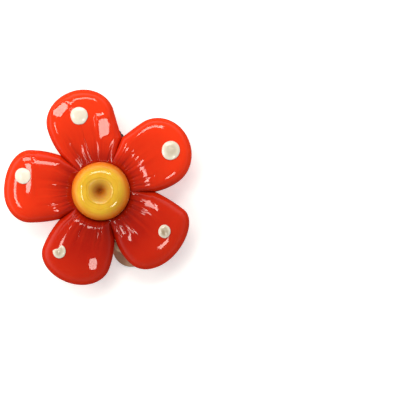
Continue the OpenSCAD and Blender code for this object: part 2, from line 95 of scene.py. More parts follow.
class Nodes:
    """Adds nodes to one tree and links them."""

    def __init__(self, tree: bpy.types.NodeTree) -> None:
        """Keeps the tree.

        Args:
            tree: The shader or geometry tree to add to.
        """
        self.tree = tree

    def add(self, kind: str, values: dict[int | str, Any] | None = None, **settings: Any) -> bpy.types.Node:
        """Adds a node.

        Args:
            kind: The node's type name.
            values: Inputs by name or index, each a value or a socket to link.
            settings: Properties of the node.

        Returns:
            The new node.
        """
        node = self.tree.nodes.new(kind)
        for name, value in settings.items():
            setattr(node, name, value)
        for key, value in (values or {}).items():
            if isinstance(value, Socket):
                self.tree.links.new(value, node.inputs[key])
            else:
                node.inputs[key].default_value = value
        return node

    def math(self, operation: str, *terms: Any) -> Socket:
        """Adds a Math node.

        Args:
            operation: The node's operation.
            terms: Its inputs in order, each a number or a socket.

        Returns:
            Its result.
        """
        return self.add("ShaderNodeMath", dict(enumerate(terms)), operation=operation).outputs[0]

    def plus(self, *terms: Any) -> Socket:
        """Adds up two or more numbers."""
        return reduce(lambda first, second: self.math("ADD", first, second), terms)

    def minus(self, first: Any, second: Any) -> Socket:
        """Takes the second number from the first."""
        return self.math("SUBTRACT", first, second)

    def times(self, *terms: Any) -> Socket:
        """Multiplies two or more numbers."""
        return reduce(lambda first, second: self.math("MULTIPLY", first, second), terms)

    def line(self, value: Any, slope: Any, start: Any) -> Socket:
        """Multiplies a value by a slope and adds it to a start."""
        return self.math("MULTIPLY_ADD", value, slope, start)

    def between(self, share: Any, low: float, high: float) -> Socket:
        """Goes from low to high while the share goes from 0 to 1."""
        return self.line(share, high - low, low)

    def length(self, x: Any, y: Any) -> Socket:
        """Measures how far a place is from the origin."""
        return self.math("SQRT", self.plus(self.times(x, x), self.times(y, y)))

    def vector(self, x: Any = 0.0, y: Any = 0.0, z: Any = 0.0) -> Socket:
        """Joins three numbers into a vector."""
        return self.add("ShaderNodeCombineXYZ", {0: x, 1: y, 2: z}).outputs[0]

    def split(self, vector: Socket) -> tuple[Socket, Socket, Socket]:
        """Splits a vector into its three numbers."""
        x, y, z = self.add("ShaderNodeSeparateXYZ", {0: vector}).outputs
        return x, y, z

    def shift(self, vector: Socket, way: Any) -> Socket:
        """Moves a place by a vector."""
        return self.add("ShaderNodeVectorMath", {0: vector, 1: way}, operation="ADD").outputs[0]

    def facing(self, vector: Socket, way: Any) -> Socket:
        """Measures how far a vector goes in a direction."""
        return self.add("ShaderNodeVectorMath", {0: vector, 1: way},
                        operation="DOT_PRODUCT").outputs["Value"]

    def ramp(self, value: Any, low: float, high: Any, to_low: Any = 0.0,
             to_high: Any = 1.0, smooth: bool = True) -> Socket:
        """Maps a value from one range to another, held at both ends.

        Args:
            value: The value or socket to map.
            low: Where the range starts.
            high: Where it ends.
            to_low: Result at the start.
            to_high: Result at the end.
            smooth: Whether it eases in and out.

        Returns:
            The mapped value.
        """
        kind = "SMOOTHSTEP" if smooth else "LINEAR"
        values = {0: value, 1: low, 2: high, 3: to_low, 4: to_high}
        return self.add("ShaderNodeMapRange", values, interpolation_type=kind).outputs[0]

    def pick(self, value: Any, limit: Any, below: Any, above: Any) -> Socket:
        """Picks one of two numbers.

        Args:
            value: The value that decides.
            limit: Where the pick changes.
            below: The result where the value is less.
            above: The result elsewhere.

        Returns:
            The picked number.
        """
        less = self.math("LESS_THAN", value, limit)
        return self.plus(self.times(less, below), self.times(self.minus(1.0, less), above))

    def noise(self, scale: float, detail: float = 2.0, vector: Any = None, w: Any = None,
              roughness: float = 0.5) -> Socket:
        """Adds a Noise Texture.

        Args:
            scale: Its scale, per metre on object coordinates.
            detail: Its octaves.
            vector: Where it is read, or None for one of a single number.
            w: That number, or the seed of a 4D one.
            roughness: How strong the fine octaves are.

        Returns:
            Its grey value, about 0.5 on average.
        """
        size = "1D" if vector is None else "3D" if w is None else "4D"
        values = {"Scale": scale, "Detail": detail, "Roughness": roughness, "Vector": vector, "W": w}
        given = {name: value for name, value in values.items() if value is not None}
        return self.add("ShaderNodeTexNoise", given, noise_dimensions=size).outputs[0]

    def attribute(self, name: str) -> Socket:
        """Reads a number that is kept on the piece's points.

        Args:
            name: The attribute's name.

        Returns:
            Its value.
        """
        if self.tree.type == "SHADER":
            return self.add("ShaderNodeAttribute", attribute_name=name).outputs["Fac"]
        return self.add("GeometryNodeInputNamedAttribute", {"Name": name},
                        data_type="FLOAT").outputs["Attribute"]


class Shader(Nodes):
    """A material under construction, with a Principled surface."""

    def __init__(self, name: str, **constants: Any) -> None:
        """Makes the material.

        Args:
            name: The material's name.
            constants: Values of the surface's sockets that are the same all over.
        """
        self.material = bpy.data.materials.new(name)
        self.material.use_nodes = True
        super().__init__(self.material.node_tree)
        self.surface = next(n for n in self.tree.nodes if n.type == "BSDF_PRINCIPLED")
        for key, value in constants.items():
            self.surface.inputs[key.replace("_", " ")].default_value = value
        self.place = self.add("ShaderNodeTexCoord").outputs["Object"]

    def pattern(self, pattern: "Pattern", place: Socket | None = None) -> Socket:
        """Adds a cloudy pattern.

        Args:
            pattern: Its measures.
            place: Where it is read, or None for the piece's own coordinates.

        Returns:
            Its grey value.
        """
        return self.noise(pattern.scale, pattern.detail, place or self.place, roughness=pattern.roughness)

    def blend(self, share: Any, first: Any, second: Any) -> Socket:
        """Blends two colours.

        Args:
            share: How much of the second one shows.
            first: Colour or socket at 0.
            second: Colour or socket at 1.

        Returns:
            The blended colour.
        """
        first, second = (value if isinstance(value, Socket) else (*value, 1.0) for value in (first, second))
        return self.add("ShaderNodeMix", {0: share, 6: first, 7: second}, data_type="RGBA").outputs[2]

    def axis(self, centre: Point) -> tuple[Socket, Socket, Socket]:
        """Reads a place as seen from an upright axis.

        Args:
            centre: Where the axis stands, in millimetres.

        Returns:
            Millimetres aside (X), upwards in the picture (Y), and out from the axis.
        """
        moved = self.shift(self.place, (-centre[0] * MM, -centre[1] * MM, 0))
        x, y = (self.math("DIVIDE", part, MM) for part in self.split(moved)[:2])
        return x, y, self.length(x, y)

    def bump(self, height: Any, depth: float) -> None:
        """Gives the surface a low relief.

        Args:
            height: The relief from 0 to 1.
            depth: Its depth in millimetres.
        """
        node = self.add("ShaderNodeBump", {"Height": height, "Distance": depth * MM, "Strength": 1.0})
        self.tree.links.new(node.outputs[0], self.surface.inputs["Normal"])

    def finish(self, colour: Socket, roughness: Socket) -> bpy.types.Material:
        """Links what varies over the surface.

        Args:
            colour: The base colour.
            roughness: The roughness.

        Returns:
            The finished material.
        """
        self.tree.links.new(colour, self.surface.inputs["Base Color"])
        self.tree.links.new(roughness, self.surface.inputs["Roughness"])
        return self.material


class Maker(Nodes):
    """A geometry tree under construction."""

    def __init__(self, name: str, inputs: dict[str, tuple[str, Any]]) -> None:
        """Makes the tree and its inputs.

        Args:
            name: The tree's name.
            inputs: Socket type and value by the input's name.
        """
        super().__init__(bpy.data.node_groups.new(name, "GeometryNodeTree"))
        self.values = {}
        faces = self.tree.interface
        faces.new_socket("Geometry", in_out="INPUT", socket_type="NodeSocketGeometry")
        for title, (kind, value) in inputs.items():
            socket = faces.new_socket(title, in_out="INPUT", socket_type=f"NodeSocket{kind}")
            self.values[socket.identifier] = value
        faces.new_socket("Geometry", in_out="OUTPUT", socket_type="NodeSocketGeometry")
        self.given = self.add("NodeGroupInput").outputs
        self.end = self.add("NodeGroupOutput")

    def position(self) -> Socket:
        """Reads where each point is."""
        return self.add("GeometryNodeInputPosition").outputs[0]

    def mark(self, geometry: Socket, name: str, value: Any) -> Socket:
        """Keeps a number on the piece's points, for its finish.

        Args:
            geometry: The piece.
            name: The attribute's name.
            value: The number.

        Returns:
            The marked piece.
        """
        values = {"Geometry": geometry, "Name": name, "Value": value}
        return self.add("GeometryNodeStoreNamedAttribute", values,
                        data_type="FLOAT", domain="POINT").outputs[0]

    def close(self, geometry: Socket) -> "Maker":
        """Ends the tree in real faces with their material.

        Args:
            geometry: What the tree has made.

        Returns:
            The tree itself.
        """
        smooth = self.add("GeometryNodeSetShadeSmooth", {"Geometry": geometry})
        real = self.add("GeometryNodeRealizeInstances", {"Geometry": smooth.outputs[0]})
        dressed = self.add("GeometryNodeSetMaterial", {"Geometry": real.outputs[0],
                                                       "Material": self.given["Material"]})
        self.tree.links.new(dressed.outputs[0], self.end.inputs[0])
        return self

    def run(self, obj: bpy.types.Object) -> bpy.types.Object:
        """Runs the tree on an object and keeps its result as a plain mesh.

        Args:
            obj: The object whose mesh goes in.

        Returns:
            The same object with the new mesh.
        """
        modifier = obj.modifiers.new(self.tree.name, "NODES")
        modifier.node_group = self.tree
        for identifier, value in self.values.items():
            modifier[identifier] = value
        return settle(obj)


def new_object(name: str, mesh: bpy.types.Mesh) -> bpy.types.Object:
    """Puts a mesh into the scene at the origin.

    Args:
        name: The object's name.
        mesh: Its mesh, in metres.

    Returns:
        The object.
    """
    obj = bpy.data.objects.new(name, mesh)
    bpy.context.scene.collection.objects.link(obj)
    return obj


def settle(obj: bpy.types.Object) -> bpy.types.Object:
    """Turns an object's modifiers into its plain mesh.

    Args:
        obj: The object.

    Returns:
        The same object, with no modifier left.
    """
    bpy.context.view_layer.update()
    seen = obj.evaluated_get(bpy.context.evaluated_depsgraph_get())
    mesh = bpy.data.meshes.new_from_object(seen)
    mesh.name = obj.name
    obj.modifiers.clear()
    obj.data = mesh
    return obj


def tidy_mesh(mesh: bpy.types.Mesh, reach: float = 1e-6) -> None:
    """Merges doubles and turns the faces outwards.

    Args:
        mesh: The mesh to clean.
        reach: How close doubles are, in metres.
    """
    cleaned = bmesh.new()
    cleaned.from_mesh(mesh)
    bmesh.ops.remove_doubles(cleaned, verts=cleaned.verts, dist=reach)
    bmesh.ops.dissolve_degenerate(cleaned, edges=cleaned.edges, dist=reach / 10)
    bmesh.ops.recalc_face_normals(cleaned, faces=cleaned.faces)
    cleaned.to_mesh(mesh)
    cleaned.free()


def arc(centre: Point, radius: float, start: float, stop: float, steps: int) -> list[Point]:
    """Lays points along an arc.

    Args:
        centre: Its centre.
        radius: Its radius.
        start: Its first direction in degrees.
        stop: Its last direction in degrees.
        steps: How many pieces it has.

    Returns:
        The points from first to last.
    """
    turns = [math.radians(start + (stop - start) * k / steps) for k in range(steps + 1)]
    return [(centre[0] + radius * math.cos(t), centre[1] + radius * math.sin(t)) for t in turns]


def slab(outline: list[Point], low: float, high: float, upright: bool = False) -> bmesh.types.BMesh:
    """Makes a sheet from an outline.

    Args:
        outline: The sheet's corners. For an upright sheet they are lengths along the clip and heights.
        low: Where its thickness starts: a height, or a width for an upright sheet.
        high: Where its thickness ends.
        upright: Whether the sheet stands along the clip.

    Returns:
        The closed sheet, in millimetres.
    """
    sheet = bmesh.new()
    rings = []
    for level in (low, high):
        spots = [(level, a, b) if upright else (a, b, level) for a, b in outline]
        rings.append([sheet.verts.new(spot) for spot in spots])
    count = len(outline)
    sheet.faces.new(rings[0])
    sheet.faces.new(rings[1][::-1])
    for k in range(count):
        following = (k + 1) % count
        sheet.faces.new((rings[0][k], rings[1][k], rings[1][following], rings[0][following]))
    bmesh.ops.recalc_face_normals(sheet, faces=sheet.faces)
    return sheet


def rod(radius: float, half_length: float, along: float, height: float,
        sides: int = 48) -> bmesh.types.BMesh:
    """Makes a rod across the clip.

    Args:
        radius: Its radius.
        half_length: Half its length.
        along: Where it lies along the clip.
        height: How high its middle is.
        sides: Its number of sides.

    Returns:
        The closed rod, in millimetres.
    """
    outline = arc((along, height), radius, 0, 360 - 360 / sides, sides - 1)
    return slab(outline, -half_length, half_length, upright=True)


@dataclass(frozen=True)
class Pattern:
    """A cloudy pattern: its scale per metre, its octaves and how strong the fine ones are."""

    scale: float
    detail: float
    roughness: float = 0.5


@dataclass(frozen=True)
class RedGlass:
    """Polished red glass, with painted light and shade: lighter at the tips where light shines through,
    darker low down, and painted shade in its creases and round the bead.

    Places are millimetres from the flower's centre, and y is upwards in the picture.
    """

    # lit and deep are lit and shaded copies of the red, and dark is painted shade
    lit: Colour = (0.98, 0.046, 0.007)
    deep: Colour = (0.43, 0.010, 0.002)
    dark: Colour = (0.15, 0.003, 0.001)
    shade_y: Point = (-11.0, 2.0)
    shade: Point = (0.0, 0.58)
    shade_lean: float = -0.25
    dip_shade_r: Point = (5.4, 11.0)
    dip: Point = (0.3, 1.0)
    tip_light_r: Point = (11.0, 18.5)
    tip: Point = (0.0, 0.42)
    clouds: Pattern = Pattern(170.0, 3.0)
    cloud_gain: Point = (-0.12, 0.12)
    swirls: Pattern = Pattern(60.0, 2.0, 0.4)
    swirl_gain: Point = (-0.18, 0.18)
    streaks: float = 5.0
    streak_drift: float = 0.8
    petal_apart: float = 9.0
    streak_rows: Point = (0.4, 1.8)
    streak_gain: float = 0.7
    crease_shade_gain: float = 0.35
    bead_shade_r: Point = (6.0, 8.2)
    bead_shade_gain: float = 0.32
    shaded_r: Point = (6.2, 12.0)
    shaded_way: Point = (0.55, -0.83)
    shaded_from: float = -0.2
    shaded_gain: float = 0.5
    waves: Pattern = Pattern(230.0, 1.5)
    relief: float = 0.03
    wear: Pattern = Pattern(420.0, 2.0)
    roughness: Point = (0.025, 0.075)

    def make(self, centre: Point) -> bpy.types.Material:
        """Makes the material.

        Args:
            centre: The flower's centre.

        Returns:
            The material.
        """
        shader = Shader("red_glass", IOR=1.50, Subsurface_Weight=0.12, Subsurface_Scale=0.0010,
                        Subsurface_Radius=(1.0, 0.10, 0.04))
        x, y, out = shader.axis(centre)
        along, across, petal = (shader.attribute(name) for name in PETAL_MARKS)
        clouds, swirls = shader.pattern(self.clouds), shader.pattern(self.swirls)
        # painted light and shade: lighter upwards and to the left, darker low down and to the right
        high = shader.ramp(shader.line(x, self.shade_lean, y), *self.shade_y, *self.shade)
        # painted light: lighter towards the tips, where light shines through the thinner glass
        tip = shader.ramp(out, *self.tip_light_r, *self.tip, smooth=False)
        # painted shade: less of the lit red in the dip round the bead
        share = shader.line(high, shader.ramp(out, *self.dip_shade_r, *self.dip), tip)
        share = shader.plus(share, shader.between(clouds, *self.cloud_gain),
                            shader.between(swirls, *self.swirl_gain))
        drift = shader.line(clouds, self.streak_drift, shader.times(petal, self.petal_apart))
        streak = shader.minus(shader.noise(1.0, 2.0, w=shader.line(across, self.streaks, drift)), 0.5)
        streak = shader.times(streak, shader.ramp(along, *self.streak_rows, 1.0, 0.0))
        share = shader.line(streak, self.streak_gain, share)
        colour = shader.blend(shader.ramp(share, 0.0, 1.0, smooth=False), self.deep, self.lit)
        # painted shade darkens the creases
        crease = shader.times(shader.attribute("crease"), self.crease_shade_gain)
        colour = shader.blend(crease, colour, self.dark)
        # painted shade on the lower right of the dip, and in the groove next to the bead
        low = shader.line(x, self.shaded_way[0], shader.times(y, self.shaded_way[1]))
        shaded = shader.times(shader.ramp(shader.math("DIVIDE", low, out), self.shaded_from, 1.0),
                              shader.ramp(out, *self.shaded_r, self.shaded_gain, 0.0))
        groove = shader.ramp(out, *self.bead_shade_r, self.bead_shade_gain, 0.0)
        colour = shader.blend(shader.math("MAXIMUM", shaded, groove), colour, self.dark)
        shader.bump(shader.pattern(self.waves), self.relief)
        return shader.finish(colour, shader.between(shader.pattern(self.wear), *self.roughness))


@dataclass(frozen=True)
class YellowGlass:
    """Golden glass, olive on its lower right as painted shade, orange where it dips into the red, and amber
    down its dimple, partly painted shade.

    Places are millimetres from the bead's centre.
    """

    top: Colour = (0.76, 0.45, 0.032)
    pale: Colour = (0.84, 0.54, 0.048)
    olive: Colour = (0.50, 0.27, 0.016)
    orange: Colour = (0.82, 0.20, 0.012)
    fused: Colour = (0.86, 0.17, 0.015)
    amber: Colour = (0.42, 0.105, 0.004)
    clouds: Pattern = Pattern(260.0, 3.0)
    paling: Point = (0.35, 0.7)
    winding: float = 2.3
    winding_drift: float = 1.6
    winding_greys: Point = (0.5, 0.72)
    winding_gain: float = 0.4
    lower_right_shade_way: Point = (0.85, -0.53)
    lower_right_shade_from: Point = (1.5, 5.0)
    lower_right_shade_gain: float = 0.55
    side_share: float = 0.35
    fused_w: float = 0.35
    fused_gain: float = 0.8
    dimple_r: Point = (0.2, 2.9)
    dull_r: Point = (1.9, 2.7)
    roughness: Point = (0.38, 0.03)
    cloud_roughness: float = 0.05
    waves: Pattern = Pattern(220.0, 1.0)
    relief: float = 0.008

    def make(self, centre: Point, bead_r: float, crest_r: float) -> bpy.types.Material:
        """Makes the material.

        Args:
            centre: The bead's centre.
            bead_r: The bead's outer radius.
            crest_r: Radius of its crest line.

        Returns:
            The material.
        """
        shader = Shader("yellow_glass", IOR=1.52, Subsurface_Weight=0.5, Subsurface_Scale=0.0010,
                        Subsurface_Radius=(1.0, 0.5, 0.1))
        x, y, out = shader.axis(centre)
        cloud = shader.pattern(self.clouds)
        colour = shader.blend(shader.ramp(cloud, *self.paling), self.top, self.pale)
        wound = shader.noise(self.winding, 1.0, w=shader.line(cloud, self.winding_drift, out))
        wound = shader.ramp(wound, *self.winding_greys, 0.0, self.winding_gain)
        colour = shader.blend(wound, colour, self.olive)
        # painted shade: olive towards the lower right, away from the lights
        low = shader.line(x, self.lower_right_shade_way[0], shader.times(y, self.lower_right_shade_way[1]))
        colour = shader.blend(shader.ramp(low, *self.lower_right_shade_from, 0.0, self.lower_right_shade_gain), colour, self.olive)
        side = shader.ramp(out, crest_r + (bead_r - crest_r) * self.side_share, bead_r)
        colour = shader.blend(side, colour, self.orange)
        edge = shader.ramp(out, bead_r - self.fused_w, bead_r, 0.0, self.fused_gain)
        colour = shader.blend(edge, colour, self.fused)
        # amber down the dimple: partly the thicker glass, partly painted shade in the recess
        colour = shader.blend(shader.ramp(out, *self.dimple_r, 1.0, 0.0), colour, self.amber)
        shader.bump(shader.pattern(self.waves), self.relief)
        dull = shader.ramp(out, *self.dull_r, *self.roughness)
        return shader.finish(colour, shader.line(cloud, self.cloud_roughness, dull))


@dataclass(frozen=True)
class CreamGlass:
    """Opaque cream glass, brighter at the rim of a dot and greyer in its middle, with painted shade that is
    strongest on the most shaded dots.
    """

    # bright is the cream, and dull the grey of its painted shade
    bright: Colour = (0.96, 0.89, 0.74)
    dull: Colour = (0.38, 0.29, 0.19)
    middle_share: Point = (0.35, 0.9)
    middle_gain: Point = (1.0, 0.35)
    clouds: Pattern = Pattern(700.0, 2.0)
    cloud_greys: Point = (0.3, 0.6)
    cloud_gain: Point = (0.6, 1.0)
    roughness: Point = (0.08, 0.16)

    def make(self) -> bpy.types.Material:
        """Makes the material."""
        shader = Shader("cream_glass", IOR=1.5, Subsurface_Weight=0.2, Subsurface_Scale=0.0006,
                        Subsurface_Radius=(1.0, 0.85, 0.6))
        cloud = shader.pattern(self.clouds)
        # painted shade: a dot's middle greys by the dot's share of shade
        middle = shader.ramp(shader.attribute("dot_share"), *self.middle_share, *self.middle_gain)
        clouding = shader.ramp(cloud, *self.cloud_greys, *self.cloud_gain)
        shaded_middle = shader.times(middle, shader.attribute("dot_dull"), clouding)
        colour = shader.blend(shaded_middle, self.bright, self.dull)
        return shader.finish(colour, shader.between(cloud, *self.roughness))


@dataclass(frozen=True)
class WornPlating:
    """Nickel plating that has gone olive, with fine scratches, dark edges and painted shade darkening it
    towards the hinge.
    """

    bright: Colour = (0.66, 0.44, 0.29)
    olive: Colour = (0.42, 0.26, 0.15)
    dark: Colour = (0.07, 0.05, 0.035)
    patches: Pattern = Pattern(190.0, 4.0, 0.6)
    patch_greys: Point = (0.4, 0.62)
    edge_gain: float = 0.75
    hinge_shade_y: Point = (8.4, 9.8)
    hinge_shade_gain: float = 0.85
    scratches: Pattern = Pattern(900.0, 3.0)
    scratches_at: float = -15.5
    stretch: tuple[float, float, float] = (9.0, 0.6, 9.0)
    relief: float = 0.006
    grain_roughness: Point = (0.2, 0.32)
    patch_roughness: float = 0.14

    def make(self) -> bpy.types.Material:
        """Makes the material."""
        shader = Shader("clip_metal", Metallic=0.65)
        _, y, _ = shader.split(shader.place)
        patches = shader.pattern(self.patches)
        turn = (0, 0, math.radians(self.scratches_at))
        stretched = shader.add("ShaderNodeMapping", {"Vector": shader.place, "Rotation": turn,
                                                     "Scale": self.stretch})
        grain = shader.pattern(self.scratches, stretched.outputs[0])
        colour = shader.blend(shader.ramp(patches, *self.patch_greys), self.olive, self.bright)
        edge = shader.times(shader.attribute("metal_edge"), self.edge_gain)
        colour = shader.blend(edge, colour, self.dark)
        # painted shade: darker towards the hinge end, which the flower shades
        hinge_shade = shader.ramp(shader.math("DIVIDE", y, MM), *self.hinge_shade_y, 0.0, self.hinge_shade_gain)
        colour = shader.blend(hinge_shade, colour, self.dark)
        shader.bump(grain, self.relief)
        rough = shader.plus(shader.between(grain, *self.grain_roughness),
                            shader.times(patches, self.patch_roughness))
        return shader.finish(colour, rough)


@dataclass(frozen=True)
class PaleFloor:
    """Smooth white paper on a light table, whose glow softens the shadows."""

    white: Colour = (0.93, 0.93, 0.92)
    grey: Colour = (0.90, 0.90, 0.89)
    fibres: Pattern = Pattern(40.0, 4.0)
    glow: float = 0.42
    roughness: Point = (0.7, 0.8)

    def make(self) -> bpy.types.Material:
        """Makes the material."""
        shader = Shader("pale_floor", Specular_IOR_Level=0.2, Emission_Strength=self.glow,
                        Emission_Color=(1.0, 1.0, 1.0, 1.0))
        fibres = shader.pattern(self.fibres)
        colour = shader.blend(fibres, self.white, self.grey)
        return shader.finish(colour, shader.between(fibres, *self.roughness))


class SubAssembly(ABC):
    """A group of pieces that are built, then dressed."""

    pieces: list[bpy.types.Object]

    @abstractmethod
    def build(self) -> None:
        """Makes the meshes."""

    @abstractmethod
    def dress(self) -> None:
        """Ties each piece to its body and hides the solid that it stands for."""

    def hand_over(self, piece: bpy.types.Object, body: Body, slot: Slot, node: str) -> None:
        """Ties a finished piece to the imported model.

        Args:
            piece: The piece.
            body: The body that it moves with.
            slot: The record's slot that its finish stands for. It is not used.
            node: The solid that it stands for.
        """
        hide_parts(node)
        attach(piece, body.value)
        LOG.info("%s: %d faces, on %s", piece.name, len(piece.data.polygons), body.value)


@dataclass(frozen=True)
class Notch:
    """The root of the gap between two petals.

    Args:
        aim: Its direction from the flower's centre in degrees.
        share: Its distance from there, as a share of the flower's radius.
    """

    aim: float
    share: float


@dataclass(frozen=True)
class Facet:
    """A nearly flat spot, pressed into a petal by hand.

    Args:
        along: Place of its middle along the petal's line.
        aside: Place of its middle to the left of that line.
        long: Half its size along, before it is turned.
        wide: Half its size across.
        turn: Its turn in degrees.
        facing: Its tilt in degrees to the right and up, as the flower is seen from above.
        soft: Width of its soft border.
        squareness: How square it is, as the power of its outline.
    """

    along: float
    aside: float
    long: float
    wide: float
    turn: float
    facing: Point
    soft: float = 0.9
    squareness: int = 5

    def weight(self, x: float, y: float) -> float:
        """How much a place belongs to the spot: 1 inside it, fading to 0 beyond its border."""
        c, s = math.cos(math.radians(self.turn)), math.sin(math.radians(self.turn))
        dx, dy = x - self.along, y - self.aside
        sides = (dx * c + dy * s) / self.long, (dy * c - dx * s) / self.wide
        far = sum(abs(side) ** self.squareness for side in sides) ** (1 / self.squareness)
        return 1 - smooth_step((far - 1) * min(self.long, self.wide) / self.soft)

    def rise(self, x: float, y: float, aim: float) -> float:
        """Its height over its middle at a place, on a petal that lies in a given direction."""
        c, s = math.cos(math.radians(aim)), math.sin(math.radians(aim))
        to_right, to_top = (-math.tan(math.radians(tilt)) for tilt in self.facing)
        dx, dy = x - self.along, y - self.aside
        return to_right * (dx * c - dy * s) + to_top * (dx * s + dy * c)


@dataclass(frozen=True)
class Petal:
    """One petal, whose lengths and widths are shares of the flower's radius.

    Args:
        aim: Direction of its line in degrees.
        reach: Centre of the flower to its tip.
        right_at: Where its right half is widest.
        left_at: Where its left half is widest.
        right_w: Width of the right half there.
        left_w: Width of the left half there.
        crest: Where its crest lies, as a share of the way from the seat to the tip.
        pillow: How full it is, as the power of its swell.
        facets: Its flat spots.
        dip_bend: How sharply it dips to the bead, as the power of the dip.
    """

    aim: float
    reach: float
    right_at: float
    left_at: float
    right_w: float
    left_w: float
    crest: float
    pillow: float
    facets: tuple[Facet, ...] = ()
    dip_bend: float = 2.1


def smooth_step(t: float) -> float:
    """Eases from 0 to 1."""
    held = min(1.0, max(0.0, t))
    return held * held * (3 - 2 * held)


@dataclass
class PetalShape:
    """The surface of one petal, in its own frame: x along its line, y to the left."""

    petal: Petal
    right_notch: Notch
    left_notch: Notch
    flower_r: float
    petal_t: float
    dip_t: float
    rim_h: float
    seat_r: float
    tip_fall: float = 0.12
    row_bow: float = 0.3
    facets_end: float = 0.9

    @property
    def reach(self) -> float:
        """Centre of the flower to the petal's tip."""
        return self.petal.reach * self.flower_r

    def widest_at(self, side: Side) -> float:
        """Where a half is widest."""
        return (self.petal.left_at if side is Side.LEFT else self.petal.right_at) * self.flower_r

    def half_w(self, side: Side) -> float:
        """How wide a half is there."""
        return (self.petal.left_w if side is Side.LEFT else self.petal.right_w) * self.flower_r

    def notch(self, side: Side) -> tuple[float, float]:
        """The notch beside the petal: its turn from the petal's line in radians, and its radius."""
        notch = self.left_notch if side is Side.LEFT else self.right_notch
        turn = (side.value * (notch.aim - self.petal.aim) + 720) % 360
        return math.radians(turn), notch.share * self.flower_r

    def width_at(self, side: Side, x: float) -> float:
        """Half width of the petal at a place along its line."""
        turn, out = self.notch(side)
        near, wide, most = out * math.cos(turn), self.widest_at(side), self.half_w(side)
        if x < near:
            return x * math.tan(turn)
        if x < wide:
            return most - (most - out * math.sin(turn)) * ((wide - x) / (wide - near)) ** 2
        return most * math.sqrt(max(0.0, 1 - ((x - wide) / (self.reach - wide)) ** 2))

    def row_end(self, side: Side, row: float) -> Point:
        """Where a row of the mesh meets the petal's edge."""
        turn, out = self.notch(side)
        if row < 1:
            r = self.seat_r + (out - self.seat_r) * row
            return r * math.cos(turn), r * math.sin(turn)
        wide = self.widest_at(side)
        if row < 2:
            near = out * math.cos(turn)
            x = near + (wide - near) * (row - 1)
            return x, self.width_at(side, x)
        bend = math.radians((row - 2) * 90)
        return wide + (self.reach - wide) * math.sin(bend), self.half_w(side) * math.cos(bend)

    def row_middle(self, row: float) -> float:
        """Where a row of the mesh crosses the petal's line."""
        first = (self.notch(Side.LEFT)[1] + self.notch(Side.RIGHT)[1]) / 2
        wide = (self.widest_at(Side.LEFT) + self.widest_at(Side.RIGHT)) / 2
        second = wide + (self.reach - wide) * self.row_bow
        if row < 1:
            return self.seat_r + (first - self.seat_r) * row
        if row < 2:
            return first + (second - first) * (row - 1)
        return second + (self.reach - second) * math.sin(math.radians((row - 2) * 90))

    def place(self, row: float, across: float) -> Point:
        """A place by its row and its share of the half width.

        Args:
            row: 0 at the bead's seat, 1 at the notches, 2 at the widest place, 3 at the tip.
            across: -1 on the right edge, 1 on the left one.

        Returns:
            The place along and aside.
        """
        side = Side.LEFT if across >= 0 else Side.RIGHT
        share, middle = abs(across), self.row_middle(row)
        end = self.row_end(side, row)
        if row <= 1:
            turn = self.notch(side)[0] * share
            r = middle + (math.hypot(*end) - middle) * share ** 2
            return r * math.cos(turn), side.value * r * math.sin(turn)
        return middle + (end[0] - middle) * share ** 2, side.value * end[1] * share

    def edge_h(self, side: Side, r: float) -> float:
        """Height of the petal's edge at a distance from the flower's centre."""
        t = (r - self.seat_r) / (self.notch(side)[1] - self.seat_r)
        return self.dip_t + (self.rim_h - self.dip_t) * smooth_step(t)

    def crest_h(self, r: float) -> float:
        """Height of the petal's crest line at a distance from the flower's centre."""
        crest = self.seat_r + (self.reach - self.seat_r) * self.petal.crest
        if r < crest:
            down = (crest - max(r, self.seat_r)) / (crest - self.seat_r)
            return self.dip_t + (self.petal_t - self.dip_t) * (1 - down ** self.petal.dip_bend)
        return self.petal_t * (1 - self.tip_fall * ((r - crest) / (self.reach - crest)) ** 2)

    def nearness(self, x: float, y: float) -> float:
        """How near a place is to the petal's edge: 0 on its line, 1 on the edge."""
        side = Side.LEFT if y >= 0 else Side.RIGHT
        across = min(1.0, abs(y) / self.half_w(side))
        lean = smooth_step(0.5 + 0.5 * side.value * across)
        right, left = self.widest_at(Side.RIGHT), self.widest_at(Side.LEFT)
        wide = right + (left - right) * lean
        if x < wide:
            return min(1.0, abs(y) / max(1e-3, self.width_at(side, min(x, self.widest_at(side)))))
        return min(1.0, math.hypot((x - wide) / (self.reach - wide), across))

    def smooth_h(self, x: float, y: float) -> float:
        """Height of the even glass over the flat back."""
        side = Side.LEFT if y >= 0 else Side.RIGHT
        r = math.hypot(x, y)
        edge = self.edge_h(side, min(r, self.notch(side)[1]))
        swell = math.sqrt(max(0.0, 1 - self.nearness(x, y) ** self.petal.pillow))
        return edge + (self.crest_h(r) - edge) * swell

    def glass_h(self, x: float, y: float) -> float:
        """Height of the glass with its flat spots over the flat back."""
        height = self.smooth_h(x, y)
        inside = 1 - smooth_step((self.nearness(x, y) - self.facets_end) / (1 - self.facets_end))
        for facet in self.petal.facets:
            share = facet.weight(x, y) * inside
            if share > 0:
                level = self.smooth_h(facet.along, facet.aside) + facet.rise(x, y, self.petal.aim)
                height += (level - height) * share
        return height


